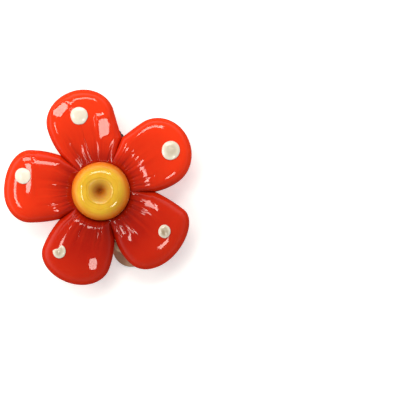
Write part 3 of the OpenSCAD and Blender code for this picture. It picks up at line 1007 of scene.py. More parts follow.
@dataclass(frozen=True)
class Creases:
    """The fine creases that run out from the bead, and the faint waves of the glass.

    Rows are counted from 0 at the seat to 3 at the tip, and sides are shares of the petal's half width.
    """

    depth: float = 0.11
    count: float = 10.0
    thinness: float = 0.9
    wander: float = 1.6
    rows: Point = (0.0, 1.6)
    sides: Point = (0.72, 0.97)
    steepness: float = 0.6
    depth_greys: Point = (0.3, 0.65)
    depths: Point = (0.15, 1.0)
    length_greys: Point = (0.3, 0.7)
    lengths: Point = (0.4, 1.0)
    petal_apart: float = 7.3
    wave_depth: float = 0.05
    wave_scale: float = 210.0
    wave_from: Point = (0.3, 0.9)
    wave_to: Point = (2.4, 2.9)
    wave_sides: Point = (0.6, 1.0)

    def pinch(self, material: bpy.types.Material) -> Maker:
        """Makes the tree that pinches the creases into the petals.

        Args:
            material: The red glass.

        Returns:
            The tree. Its creases follow the petals' own lines, which the mesh keeps as marks.
        """
        maker = Maker("pinched_creases", {
            "Material": ("Material", material),
            "Depth": ("Float", self.depth * MM),
            "Creases": ("Float", self.count),
            "Thinness": ("Float", self.thinness),
            "Wander": ("Float", self.wander),
            "Start": ("Float", self.rows[0]),
            "End": ("Float", self.rows[1]),
            "Waviness": ("Float", self.wave_depth * MM),
            "Seed": ("Float", 4.0),
        })
        given = maker.given
        along, across, petal = (maker.attribute(name) for name in PETAL_MARKS)
        aside = maker.math("ABSOLUTE", across)
        number = maker.plus(maker.times(petal, self.petal_apart), given["Seed"])

        def vary(turns: float, apart: float, detail: float = 0.0) -> Socket:
            """Reads a noise across the petal, apart from the other petals' and the other noises."""
            return maker.noise(1.0, detail, w=maker.line(across, turns, maker.plus(number, apart)))

        # a crease lies wherever the turn is a whole number, and each has its own depth and length
        turn = maker.line(given["Wander"], vary(2.3, 0.0, 1.0), maker.times(across, given["Creases"], 0.5))
        beside = maker.math("ABSOLUTE", maker.math("SINE", maker.times(turn, math.pi)))
        groove = maker.times(maker.ramp(beside, 0.0, given["Thinness"], 1.0, 0.0),
                             maker.ramp(vary(3.1, 57.0), *self.depth_greys, *self.depths))
        length = maker.ramp(vary(4.0, 31.0), *self.length_greys, *self.lengths, smooth=False)
        end = maker.times(given["End"], length)
        part = maker.math("DIVIDE", maker.minus(along, given["Start"]), maker.minus(end, given["Start"]))
        held = maker.math("MINIMUM", maker.math("MAXIMUM", part, 0.0), 1.0)
        bow = maker.math("SINE", maker.times(maker.math("POWER", held, self.steepness), math.pi))
        crease = maker.times(bow, maker.ramp(aside, *self.sides, 1.0, 0.0), groove)
        # the glass waves faintly away from the seat, the edges and the tip
        wave = maker.minus(maker.noise(self.wave_scale, 0.0, maker.position(), given["Seed"]), 0.5)
        rows = maker.times(maker.ramp(along, *self.wave_from), maker.ramp(along, *self.wave_to, 1.0, 0.0))
        inside = maker.times(maker.ramp(aside, *self.wave_sides, 1.0, 0.0), rows)
        wave = maker.times(wave, inside, given["Waviness"])
        rise = maker.minus(wave, maker.times(crease, given["Depth"]))
        moved = maker.add("GeometryNodeSetPosition", {"Geometry": given["Geometry"],
                                                      "Offset": maker.vector(z=rise)})
        return maker.close(maker.mark(moved.outputs[0], "crease", crease))


@dataclass
class Flower(SubAssembly):
    """The red glass: five petals in one piece, with the seat of the bead."""

    centre: Point = CENTRE
    back_z: float = BACK_Z
    flower_r: float = FLOWER_R
    petal_t: float = 3.6
    dip_t: float = 2.2
    rim_h: float = 1.0
    back_inset: float = 0.5
    seat_r: float = 5.61
    seat_floor_t: float = 1.3
    inner_rows: int = 34
    middle_rows: int = 24
    tip_rows: int = 26
    half_columns: int = 58
    edge_rows: int = 8
    crowding: float = 1.5
    creases: Creases = field(default_factory=Creases)
    finish: RedGlass = field(default_factory=RedGlass)
    pieces: list[bpy.types.Object] = field(default_factory=list)
    petals: tuple[Petal, ...] = (
        Petal(35.6, 1.05, 0.70, 0.74, 0.383, 0.331, 0.5, 9.0),
        Petal(105.3, 1.07, 0.77, 0.76, 0.342, 0.366, 0.85, 8.0, (
            Facet(17.0, 3.2, 0.8, 1.4, 25.0, (-9.5, -0.5)),
            Facet(11.6, -3.8, 1.5, 0.9, -8.0, (8.8, -9.0)))),
        Petal(180.1, 1.00, 0.735, 0.735, 0.426, 0.322, 0.4, 6.0, (
            Facet(13.6, -2.9, 0.5, 2.1, 0.0, (-8.7, 1.5), 0.8),
            Facet(14.0, -6.1, 0.9, 0.35, 0.0, (-3.0, 12.5), 0.4))),
        Petal(249.0, 1.00, 0.75, 0.72, 0.354, 0.363, 0.5, 3.2, (
            Facet(13.4, 3.6, 0.9, 0.6, 20.0, (9.0, -7.5), 0.7),), 9.0),
        Petal(321.5, 1.00, 0.72, 0.785, 0.396, 0.382, 0.5, 3.2, (
            Facet(7.7, -3.6, 0.8, 0.5, 0.0, (-10.5, -0.5), 0.6),)),
    )
    notches: tuple[Notch, ...] = (
        Notch(-0.6, 0.557),
        Notch(69.0, 0.592),
        Notch(138.5, 0.557),
        Notch(214.0, 0.516),
        Notch(285.9, 0.512),
    )

    def shape(self, index: int) -> PetalShape:
        """The surface of a petal by its number."""
        right, left = self.notches[index], self.notches[(index + 1) % len(self.notches)]
        return PetalShape(self.petals[index], right, left, self.flower_r, self.petal_t, self.dip_t,
                          self.rim_h, self.seat_r)

    def spot(self, petal: Petal, place: Point, height: float) -> Vector:
        """Takes a place on a petal into the row frame, in metres."""
        a = math.radians(petal.aim)
        x = place[0] * math.cos(a) - place[1] * math.sin(a) + self.centre[0]
        y = place[0] * math.sin(a) + place[1] * math.cos(a) + self.centre[1]
        return Vector((x, y, height + self.back_z)) * MM

    def rows(self) -> list[float]:
        """The rows of a petal's mesh, from the seat to just before the tip."""
        inner = [k / self.inner_rows for k in range(self.inner_rows)]
        middle = [1 + k / self.middle_rows for k in range(self.middle_rows)]
        return inner + middle + [2 + k / self.tip_rows for k in range(self.tip_rows)]

    def columns(self) -> list[float]:
        """Places across a petal, closer together towards its edges."""
        steps = range(1, self.half_columns + 1)
        half = [1 - (1 - k / self.half_columns) ** self.crowding for k in steps]
        return [-share for share in reversed(half)] + [0.0] + half

    def add_petal(self, body: bmesh.types.BMesh, index: int) -> None:
        """Adds one petal's faces: top, rounded edge, flat back and its part of the seat.

        Args:
            body: The mesh to add to.
            index: The petal's number.
        """
        petal, shape = self.petals[index], self.shape(index)
        rows, columns = self.rows(), self.columns()
        marks = [body.verts.layers.float[name] for name in PETAL_MARKS]

        def put(place: Point, height: float, row: float = 3.0, across: float = 1.0) -> bmesh.types.BMVert:
            """Adds a point with its marks."""
            vert = body.verts.new(self.spot(petal, place, height))
            for mark, value in zip(marks, (row, across, float(index))):
                vert[mark] = value
            return vert

        def top(row: float, across: float) -> bmesh.types.BMVert:
            """Adds a point of the petal's top."""
            place = shape.place(row, across)
            if abs(across) < 1.0:
                return put(place, shape.glass_h(*place), row, across)
            side = Side.LEFT if across > 0 else Side.RIGHT
            r = min(math.hypot(*place), shape.notch(side)[1])
            return put(place, shape.edge_h(side, r), row, across)

        grid = [[top(row, across) for across in columns] for row in rows]
        tip = put((shape.reach, 0.0), self.rim_h)
        steps = range(len(columns) - 1)
        for upper, lower in zip(grid[1:], grid):
            for k in steps:
                body.faces.new((lower[k], lower[k + 1], upper[k + 1], upper[k]))
        for k in steps:
            body.faces.new((grid[-1][k], grid[-1][k + 1], tip))

        # the outline runs from the right notch over the tip to the left notch
        open_grid, open_rows = grid[self.inner_rows:], rows[self.inner_rows:]
        outer = [line[0] for line in open_grid] + [tip] + [line[-1] for line in reversed(open_grid)]
        places = [shape.place(row, -1.0) for row in open_rows] + [(shape.reach, 0.0)]
        places += [shape.place(row, 1.0) for row in reversed(open_rows)]
        last = len(places) - 1
        for step in range(1, self.edge_rows + 1):
            bend = math.pi / 2 * step / self.edge_rows
            inset, height = self.back_inset * (1 - math.cos(bend)), self.rim_h * (1 - math.sin(bend))
            drawn = [put(self.drawn_in(shape, place, inset, k in (0, last)), height)
                     for k, place in enumerate(places)]
            for k in range(last):
                body.faces.new((outer[k], outer[k + 1], drawn[k + 1], drawn[k]))
            outer = drawn

        # the flat back spreads from a spine under the petal's line
        middle = put((0.0, 0.0), 0.0)
        spine = [put((shape.row_middle(row) - self.back_inset, 0.0), 0.0) for row in open_rows]
        count = len(spine)
        body.faces.new((middle, outer[0], spine[0]))
        body.faces.new((middle, spine[0], outer[-1]))
        for k in range(count - 1):
            body.faces.new((outer[k], outer[k + 1], spine[k + 1], spine[k]))
            body.faces.new((spine[k], spine[k + 1], outer[-2 - k], outer[-1 - k]))
        body.faces.new((outer[count - 1], outer[count], spine[-1]))
        body.faces.new((spine[-1], outer[count], outer[count + 1]))

        seat_middle = put((0.0, 0.0), self.seat_floor_t)
        floor = [put(shape.place(0.0, across), self.seat_floor_t) for across in columns]
        for k in steps:
            body.faces.new((grid[0][k + 1], grid[0][k], floor[k], floor[k + 1]))
            body.faces.new((floor[k + 1], floor[k], seat_middle))

    def drawn_in(self, shape: PetalShape, place: Point, inset: float, at_notch: bool) -> Point:
        """Moves a place on the outline inwards.

        Args:
            shape: The petal.
            place: The place.
            inset: How far it moves.
            at_notch: Whether the place is one of the two notches.

        Returns:
            The moved place.
        """
        if at_notch:
            share = 1 - inset / math.hypot(*place)
            return place[0] * share, place[1] * share
        side = Side.LEFT if place[1] >= 0 else Side.RIGHT
        wide = shape.widest_at(side)
        along = inset * ((place[0] - wide) / (shape.reach - wide)) ** 2 if place[0] > wide else 0.0
        aside = min(inset * abs(place[1]) / shape.half_w(side), abs(place[1]))
        return place[0] - along, place[1] - side.value * aside

    def build(self) -> None:
        """Makes the petals as one closed mesh and pinches the creases into it."""
        body = bmesh.new()
        for name in PETAL_MARKS:
            body.verts.layers.float.new(name)
        for index in range(len(self.petals)):
            self.add_petal(body, index)
        mesh = bpy.data.meshes.new("flower_glass")
        body.to_mesh(mesh)
        body.free()
        tidy_mesh(mesh)
        piece = new_object("flower_glass", mesh)
        self.pieces = [self.creases.pinch(self.finish.make(self.centre)).run(piece)]

    def dress(self) -> None:
        """Ties the flower to its solid."""
        self.hand_over(self.pieces[0], Body.FLOWER, Slot.RED, "flower")


@dataclass
class CentreBead(SubAssembly):
    """The yellow glass bead in the flower's seat, with a deep dimple on top."""

    centre: Point = CENTRE
    back_z: float = BACK_Z
    bead_d: float = 11.2
    bead_h: float = 3.85
    crown: float = 2.6
    shoulder: float = 0.87
    crest_d: float = 5.7
    foot_d: float = 9.2
    dimple_depth: float = 2.8
    dimple_floor_d: float = 0.6
    floor_h: float = 1.35
    unevenness: float = 0.14
    wobble_scale: float = 0.42
    wobble_middle: float = 0.4
    wobble_h: Point = (0.0, 2.0)
    turns: int = 145
    steps: int = 97
    foot_share: float = 0.04
    floor_share: float = 0.94
    finish: YellowGlass = field(default_factory=YellowGlass)
    pieces: list[bpy.types.Object] = field(default_factory=list)

    def wind(self, material: bpy.types.Material) -> Maker:
        """Makes the tree that winds the glass round its axis, from a sheet of turns and steps.

        Args:
            material: The bead's finish.

        Returns:
            The tree.
        """
        last_turn = math.acos(1 - self.dimple_floor_d / self.crest_d)
        middle = tuple(length * MM for length in (*self.centre, self.back_z + self.floor_h))
        maker = Maker("wound_bead", {
            "Material": ("Material", material),
            "Radius": ("Float", self.bead_d / 2),
            "Crest radius": ("Float", self.crest_d / 2),
            "Foot radius": ("Float", self.foot_d / 2),
            "Height": ("Float", self.bead_h),
            "Crown": ("Float", self.crown),
            "Shoulder": ("Float", self.shoulder),
            "Dimple depth": ("Float", self.dimple_depth),
            "Dimple floor": ("Float", self.dimple_floor_d / 2),
            "Last turn": ("Float", math.pi - last_turn),
            "Middle": ("Vector", middle),
            "Unevenness": ("Float", self.unevenness),
            "Seed": ("Float", 2.0),
        })
        given = maker.given
        sheet = maker.add("GeometryNodeMeshGrid", {"Size X": 1.0, "Size Y": 1.0, "Vertices X": self.turns,
                                                   "Vertices Y": self.steps})
        x, y, _ = maker.split(maker.position())
        turn = maker.times(maker.plus(x, 0.5), 2 * math.pi)
        rise = maker.plus(y, 0.5)
        # bend runs from the foot over the side and the crest to the dimple's floor
        bend = maker.ramp(rise, self.foot_share, self.floor_share, -math.pi / 2, given["Last turn"],
                          smooth=False)

        def by_part(foot: Any, side: Any, dimple: Any) -> Socket:
            """Picks a value for the foot, for the side up to the crest, or for the dimple."""
            return maker.pick(bend, 0.0, foot, maker.pick(bend, math.pi / 2, side, dimple))

        def fuller(turned: Socket) -> Socket:
            """Fills out the side below the crest."""
            full = maker.math("POWER", maker.math("MAXIMUM", turned, 0.0), given["Shoulder"])
            return by_part(turned, full, turned)

        base = by_part(given["Foot radius"], given["Crest radius"], given["Crest radius"])
        side_w = maker.minus(given["Radius"], base)
        wide = by_part(side_w, side_w, given["Crest radius"])
        out = maker.line(fuller(maker.math("COSINE", bend)), wide, base)
        side_h = maker.minus(given["Height"], given["Crown"])
        level = by_part(side_h, side_h, maker.minus(given["Height"], given["Dimple depth"]))
        tall = by_part(side_h, given["Crown"], given["Dimple depth"])
        up = maker.line(fuller(maker.math("SINE", bend)), tall, level)
        # the foot's flat and the dimple's rounded floor run in to the axis
        foot = maker.ramp(rise, 0.0, self.foot_share, smooth=False)
        floor = maker.ramp(rise, self.floor_share, 1.0, 1.0, 0.0, smooth=False)
        out = maker.times(out, foot, floor)
        slope = self.dimple_depth / (self.crest_d / 2) / math.tan(last_turn)
        drop = maker.times(given["Dimple floor"], slope / 2)
        up = maker.minus(up, maker.times(maker.minus(1.0, maker.times(floor, floor)), drop))

        def around(distance: Socket) -> Socket:
            """Places a point at a distance from the axis."""
            return maker.vector(maker.times(distance, maker.math("COSINE", turn)),
                                maker.times(distance, maker.math("SINE", turn)), up)

        wobble = maker.noise(self.wobble_scale, 1.0, around(out), given["Seed"])
        wobble = maker.minus(wobble, self.wobble_middle)
        less = maker.times(wobble, given["Unevenness"], maker.ramp(up, *self.wobble_h))
        out = maker.times(out, maker.minus(1.0, maker.math("DIVIDE", less, given["Radius"])))
        spot = maker.add("ShaderNodeVectorMath", {0: around(out), "Scale": MM}, operation="SCALE")
        wound = maker.add("GeometryNodeSetPosition", {"Geometry": sheet.outputs["Mesh"],
                                                      "Position": spot.outputs[0]})
        placed = maker.add("GeometryNodeTransform", {"Geometry": wound.outputs[0],
                                                     "Translation": given["Middle"]})
        return maker.close(placed.outputs[0])

    def build(self) -> None:
        """Makes the bead."""
        material = self.finish.make(self.centre, self.bead_d / 2, self.crest_d / 2)
        piece = self.wind(material).run(new_object("centre_bead_glass", bpy.data.meshes.new("bead")))
        tidy_mesh(piece.data)
        self.pieces = [piece]

    def dress(self) -> None:
        """Ties the bead to its solid."""
        self.hand_over(self.pieces[0], Body.FLOWER, Slot.YELLOW, "centre_bead")


@dataclass(frozen=True)
class Dot:
    """One dot, whose place and size are shares of the flower's radius.

    Args:
        name: The petal that it is on.
        aim: Its direction from the flower's centre in degrees.
        share: Its distance from there.
        width: Its width.
        height: Its height in the picture.
        dull: How much painted shade greys its middle, 0 to 1.
        bite: How deep a notch goes into it, as a share of its radius.
        bite_aim: Direction of the notch in degrees.
    """

    name: str
    aim: float
    share: float
    width: float
    height: float
    dull: float
    bite: float = 0.0
    bite_aim: float = 0.0


@dataclass
class Dots(SubAssembly):
    """The five cream dots, each melted onto its petal."""

    petals: bpy.types.Object
    centre: Point = CENTRE
    flower_r: float = FLOWER_R
    rise: float = 0.32
    edge_t: float = 0.1
    gap: float = 0.04
    bite_edge: float = 0.5
    uneven_scale: float = 0.9
    uneven_greys: Point = (0.2, 0.8)
    uneven: Point = (0.94, 1.05)
    lens_power: float = 2.4
    above: float = 20.0
    sides: int = 64
    rings: int = 12
    finish: CreamGlass = field(default_factory=CreamGlass)
    pieces: list[bpy.types.Object] = field(default_factory=list)
    dots: tuple[Dot, ...] = (
        # the dots low down and on the right get the most painted shade
        Dot("upper_right", 30.2, 0.830, 0.185, 0.195, 0.55),
        Dot("top", 105.8, 0.801, 0.180, 0.180, 0.15),
        Dot("left", 168.9, 0.809, 0.160, 0.165, 0.05),
        Dot("bottom", 235.3, 0.743, 0.134, 0.146, 0.9, 0.62, 117.0),
        Dot("lower_right", 327.8, 0.771, 0.123, 0.139, 1.0),
    )

    def melt(self, dot: Dot, material: bpy.types.Material) -> Maker:
        """Makes the tree that lays a lens of glass onto the petal under it.

        Args:
            dot: The dot.
            material: Its finish.

        Returns:
            The tree.
        """
        aim, bite = math.radians(dot.aim), math.radians(dot.bite_aim)
        out = dot.share * self.flower_r
        x, y = self.centre[0] + out * math.cos(aim), self.centre[1] + out * math.sin(aim)
        maker = Maker(f"melted_dot_{dot.name}", {
            "Material": ("Material", material),
            "Petals": ("Object", self.petals),
            "Middle": ("Vector", (x * MM, y * MM, 0.0)),
            "Half width": ("Float", dot.width * self.flower_r / 2 * MM),
            "Half height": ("Float", dot.height * self.flower_r / 2 * MM),
            "Rise": ("Float", self.rise * MM),
            "Edge": ("Float", self.edge_t * MM),
            "Gap": ("Float", self.gap * MM),
            "Dullness": ("Float", dot.dull),
            "Bite": ("Float", dot.bite),
            "Bite way": ("Vector", (math.cos(bite), math.sin(bite), 0.0)),
            "Seed": ("Float", dot.aim),
        })
        given = maker.given
        disc = maker.add("GeometryNodeMeshCylinder", {
            "Vertices": self.sides, "Side Segments": 2, "Fill Segments": self.rings,
            "Radius": 1.0, "Depth": 2.0})
        x, y, level = maker.split(maker.position())
        share, around = maker.length(x, y), maker.vector(x, y)
        uneven = maker.noise(self.uneven_scale, 1.0, around, given["Seed"])
        uneven = maker.ramp(uneven, *self.uneven_greys, *self.uneven, smooth=False)
        # the notch is deepest where the point lies in its direction
        turned = maker.math("DIVIDE", maker.facing(around, given["Bite way"]),
                            maker.math("MAXIMUM", share, 1e-3))
        bitten = maker.times(maker.ramp(turned, self.bite_edge, 1.0, smooth=False), given["Bite"])
        uneven = maker.times(uneven, maker.minus(1.0, bitten))
        x = maker.times(x, given["Half width"], uneven)
        y = maker.times(y, given["Half height"], uneven)
        flat = maker.shift(maker.vector(x, y), given["Middle"])
        # a ray from above finds the petal
        glass = maker.add("GeometryNodeObjectInfo", {"Object": given["Petals"]}).outputs["Geometry"]
        ray = maker.add("GeometryNodeRaycast", {
            "Target Geometry": glass, "Source Position": maker.shift(flat, (0, 0, self.above * MM)),
            "Ray Direction": (0, 0, -1), "Ray Length": 2 * self.above * MM})
        _, _, ground = maker.split(ray.outputs["Hit Position"])
        lens = maker.minus(1.0, maker.math("POWER", share, self.lens_power))
        thick = maker.line(maker.minus(given["Rise"], given["Edge"]), lens, given["Edge"])
        z = maker.plus(ground, given["Gap"], maker.times(thick, maker.between(level, 0.5, 1.0)))
        x, y, _ = maker.split(flat)
        marked = maker.mark(disc.outputs["Mesh"], "dot_share", share)
        marked = maker.mark(marked, "dot_dull", given["Dullness"])
        laid = maker.add("GeometryNodeSetPosition", {"Geometry": marked, "Position": maker.vector(x, y, z)})
        return maker.close(laid.outputs[0])

    def build(self) -> None:
        """Makes the dots."""
        material = self.finish.make()
        for dot in self.dots:
            piece = new_object(f"dot_glass_{dot.name}", bpy.data.meshes.new(dot.name))
            self.melt(dot, material).run(piece)
            tidy_mesh(piece.data)
            self.pieces.append(piece)

    def dress(self) -> None:
        """Ties each dot to its solid."""
        for dot, piece in zip(self.dots, self.pieces):
            self.hand_over(piece, Body.FLOWER, Slot.CREAM, f"dot_{dot.name}")


@dataclass(frozen=True)
class ClipPlace:
    """Where the clip lies: x across it, y from the centre of the paddle's round end to the hinge."""

    tilt: float = 15.5
    aside: float = 2.4
    drop: float = 12.1
    centre: Point = CENTRE

    def matrix(self) -> Matrix:
        """The clip's frame in the row frame, from millimetres to metres."""
        turned = Matrix.Rotation(math.radians(self.tilt), 4, "Z")
        centre = Matrix.Translation((self.centre[0], self.centre[1], 0))
        return Matrix.Scale(MM, 4) @ centre @ turned @ Matrix.Translation((self.aside, -self.drop, 0))


@dataclass
class SheetPiece(SubAssembly):
    """A piece of the clip, folded from sheet metal."""

    material: bpy.types.Material
    place: ClipPlace = field(default_factory=ClipPlace)
    metal_t: float = 0.8
    strap_z: float = 5.2
    hinge_reach: float = HINGE_REACH
    pin_z: float = PIN_Z
    ear_inside: float = 3.5
    ear_t: float = 0.6
    ear_r: float = 1.4
    ear_steps: int = 32
    run_gap: float = 0.1
    bore_half_length: float = 6.0
    weld: float = 0.1
    round_r: float = 0.12
    round_steps: int = 3
    sharp_at: float = 38.0
    flat_z: float = 0.75
    pieces: list[bpy.types.Object] = field(default_factory=list)

    @property
    def hinge_end(self) -> float:
        """Where the clip ends, past the pin."""
        return self.hinge_reach + self.ear_r

    def fold(self, name: str, sheets: list[bmesh.types.BMesh], bore_r: float) -> bpy.types.Object:
        """Joins sheets into one piece, bores it for the pin and rounds its edges.

        Args:
            name: The piece's name.
            sheets: Its sheets, in the clip's frame.
            bore_r: Radius of the hole for the pin.

        Returns:
            The piece.
        """
        objects = []
        bore = rod(bore_r, self.bore_half_length, self.hinge_reach, self.pin_z)
        for k, sheet in enumerate([*sheets, bore]):
            mesh = bpy.data.meshes.new(f"{name}_{k}")
            sheet.to_mesh(mesh)
            sheet.free()
            objects.append(new_object(f"{name}_{k}", mesh))
        piece, *others = objects
        for other in others:
            joiner = piece.modifiers.new("joining", "BOOLEAN")
            joiner.operation = "DIFFERENCE" if other is others[-1] else "UNION"
            joiner.solver = "EXACT"
            joiner.object = other
        settle(piece)
        for other in others:
            bpy.data.objects.remove(other)
        tidy_mesh(piece.data, self.weld * MM)
        edge = piece.modifiers.new("rounding", "BEVEL")
        edge.width, edge.segments, edge.limit_method = self.round_r, self.round_steps, "ANGLE"
        edge.angle_limit = math.radians(self.sharp_at)
        edge.harden_normals = False
        settle(piece)
        piece.data.transform(self.place.matrix())
        piece.data.materials.append(self.material)
        for face in piece.data.polygons:
            face.use_smooth = True
        piece.name = piece.data.name = name
        self.mark_edges(piece.data)
        weighted = piece.modifiers.new("flats", "WEIGHTED_NORMAL")
        weighted.keep_sharp = True
        return settle(piece)

    def pair(self, outline: list[Point], inside: float, outside: float) -> list[bmesh.types.BMesh]:
        """Makes two upright sheets, one on each side of the clip.

        Args:
            outline: Their outline.
            inside: Their inner face, from the clip's middle.
            outside: Their outer face.

        Returns:
            The two sheets.
        """
        return [slab(outline, *faces, upright=True) for faces in ((inside, outside), (-outside, -inside))]

    def mark_edges(self, mesh: bpy.types.Mesh) -> None:
        """Marks where a sheet's rounded edges are, for its finish.

        Args:
            mesh: The sheet's mesh, in metres.
        """
        mark = mesh.attributes.new("metal_edge", "FLOAT", "POINT")
        for vertex in mesh.vertices:
            mark.data[vertex.index].value = 0.0
        for face in mesh.polygons:
            if abs(face.normal.z) < self.flat_z:
                for index in face.vertices:
                    mark.data[index].value = 1.0


@dataclass
class ClipBase(SheetPiece):
    """The strap glued to the flower, with two ears that carry the pin."""

    strap_w: float = 7.1
    start: float = 2.7
    end_steps: int = 40
    ear_root: float = 4.6
    bore_r: float = 0.62

    def build(self) -> None:
        """Cuts the strap and its ears and joins them."""
        half, outside = self.strap_w / 2, self.ear_inside + self.ear_t
        root, top = self.hinge_end - self.ear_root, self.strap_z + self.metal_t
        strap = arc((0, self.start), half, 180, 360, self.end_steps)
        strap += [(half, root), (outside, root), (outside, self.hinge_end), (-outside, self.hinge_end),
                  (-outside, root), (-half, root)]
        ear = [(self.hinge_end, top), (root, top), (root, self.strap_z),
               (self.hinge_reach - self.ear_r, self.pin_z + self.ear_r)]
        ear += arc((self.hinge_reach, self.pin_z), self.ear_r, 180, 360, self.ear_steps)
        sheets = [slab(strap, self.strap_z, top), *self.pair(ear, self.ear_inside, outside)]
        self.pieces = [self.fold("strap_metal", sheets, self.bore_r)]

    def dress(self) -> None:
        """Ties the strap to its solid."""
        self.hand_over(self.pieces[0], Body.FLOWER, Slot.METAL, "clip_base")


@dataclass
class Paddle(SheetPiece):
    """The lever that presses the ear lobe against the strap."""

    paddle_w: float = 7.3
    end_steps: int = 48
    cheek_root: float = 6.2
    cheek_less: float = 0.2
    bore_r: float = 0.65

    def build(self) -> None:
        """Cuts the paddle and its cheeks and joins them."""
        half, r = self.paddle_w / 2, self.ear_r - self.cheek_less
        heel, outside = self.hinge_reach + r, self.ear_inside - self.run_gap
        plate = arc((0, 0), half, 180, 360, self.end_steps) + [(half, heel), (-half, heel)]
        cheek = [(heel - self.cheek_root, 0.0), (heel, 0.0)]
        cheek += arc((self.hinge_reach, self.pin_z), r, 0, 180, self.ear_steps)
        cheek += [(heel - self.cheek_root, self.metal_t)]
        sheets = [slab(plate, 0.0, self.metal_t), *self.pair(cheek, outside - self.ear_t, outside)]
        self.pieces = [self.fold("paddle_metal", sheets, self.bore_r)]

    def dress(self) -> None:
        """Ties the paddle to its solid."""
        self.hand_over(self.pieces[0], Body.PADDLE, Slot.METAL, "paddle")


@dataclass
class HingePin(SubAssembly):
    """The pin of the hinge, with a domed head riveted over at each end."""

    material: bpy.types.Material
    place: ClipPlace = field(default_factory=ClipPlace)
    along: float = HINGE_REACH
    height: float = PIN_Z
    radius: float = 0.6
    half_length: float = 4.12
    head_r: float = 0.95
    head_t: float = 0.3
    head_flatness: float = 0.36
    shank_sides: int = 32
    shank_rows: int = 8
    head_sides: int = 40
    head_rows: int = 24
    weld: float = 0.1
    pieces: list[bpy.types.Object] = field(default_factory=list)

    def rivet(self) -> Maker:
        """Makes the tree of the pin: a shank, and a head on a point at each end.

        Returns:
            The tree, whose shank stands along Z.
        """
        maker = Maker("riveted_pin", {
            "Material": ("Material", self.material),
            "Shank radius": ("Float", self.radius),
            "Shank length": ("Float", 2 * self.half_length),
            "Head radius": ("Float", self.head_r),
            "Head thickness": ("Float", self.head_t),
        })
        given = maker.given
        shank = maker.add("GeometryNodeMeshCylinder", {
            "Vertices": self.shank_sides, "Side Segments": self.shank_rows, "Fill Segments": 2,
            "Radius": given["Shank radius"], "Depth": given["Shank length"]})
        ball = maker.add("GeometryNodeMeshUVSphere", {
            "Segments": self.head_sides, "Rings": self.head_rows, "Radius": 1.0})
        x, y, z = maker.split(maker.position())
        square = maker.plus(maker.times(x, x), maker.times(y, y))
        wider = maker.math("POWER", square, -self.head_flatness / 2)
        x, y = (maker.times(part, wider, given["Head radius"]) for part in (x, y))
        z = maker.times(maker.math("MAXIMUM", z, 0.0), given["Head thickness"])
        dome = maker.add("GeometryNodeSetPosition", {"Geometry": ball.outputs["Mesh"],
                                                     "Position": maker.vector(x, y, z)})
        ends = maker.add("GeometryNodeMeshLine", {
            "Count": 2, "Start Location": maker.vector(z=maker.times(given["Shank length"], -0.5)),
            "Offset": maker.vector(z=given["Shank length"])})
        # the lower head is turned over
        number = maker.add("GeometryNodeInputIndex").outputs[0]
        turn = maker.times(maker.minus(1.0, number), math.pi)
        heads = maker.add("GeometryNodeInstanceOnPoints", {
            "Points": ends.outputs[0], "Instance": dome.outputs[0], "Rotation": maker.vector(turn)})
        joined = maker.add("GeometryNodeJoinGeometry")
        for part in (shank.outputs["Mesh"], heads.outputs[0]):
            maker.tree.links.new(part, joined.inputs[0])
        return maker.close(joined.outputs[0])

    def build(self) -> None:
        """Makes the pin and lays it across the clip."""
        piece = self.rivet().run(new_object("hinge_pin_metal", bpy.data.meshes.new("pin")))
        tidy_mesh(piece.data, self.weld * MM)
        middle = Matrix.Translation((0, self.along, self.height))
        piece.data.transform(self.place.matrix() @ middle @ Matrix.Rotation(math.radians(90), 4, "Y"))
        self.pieces = [piece]

    def dress(self) -> None:
        """Ties the pin to its solid."""
        self.hand_over(self.pieces[0], Body.FLOWER, Slot.METAL, "hinge_pin")


@dataclass(frozen=True)
class Softbox:
    """A window-like light.

    Args:
        name: Its name.
        right: How far it stands to the right of straight over the flower, in degrees.
        up: How far it stands upwards in the picture, in degrees.
        across: Its size across the line to the point overhead, in millimetres.
        along: Its size along that line.
        glow: How bright it is.
        distance: How far it is from the flower.
        mirrored: Whether the glass and metal mirror it.
        lit: Whether it lights the scene.
    """

    name: str
    right: float
    up: float
    across: float
    along: float
    glow: float
    distance: float = 600.0
    mirrored: bool = True
    lit: bool = True


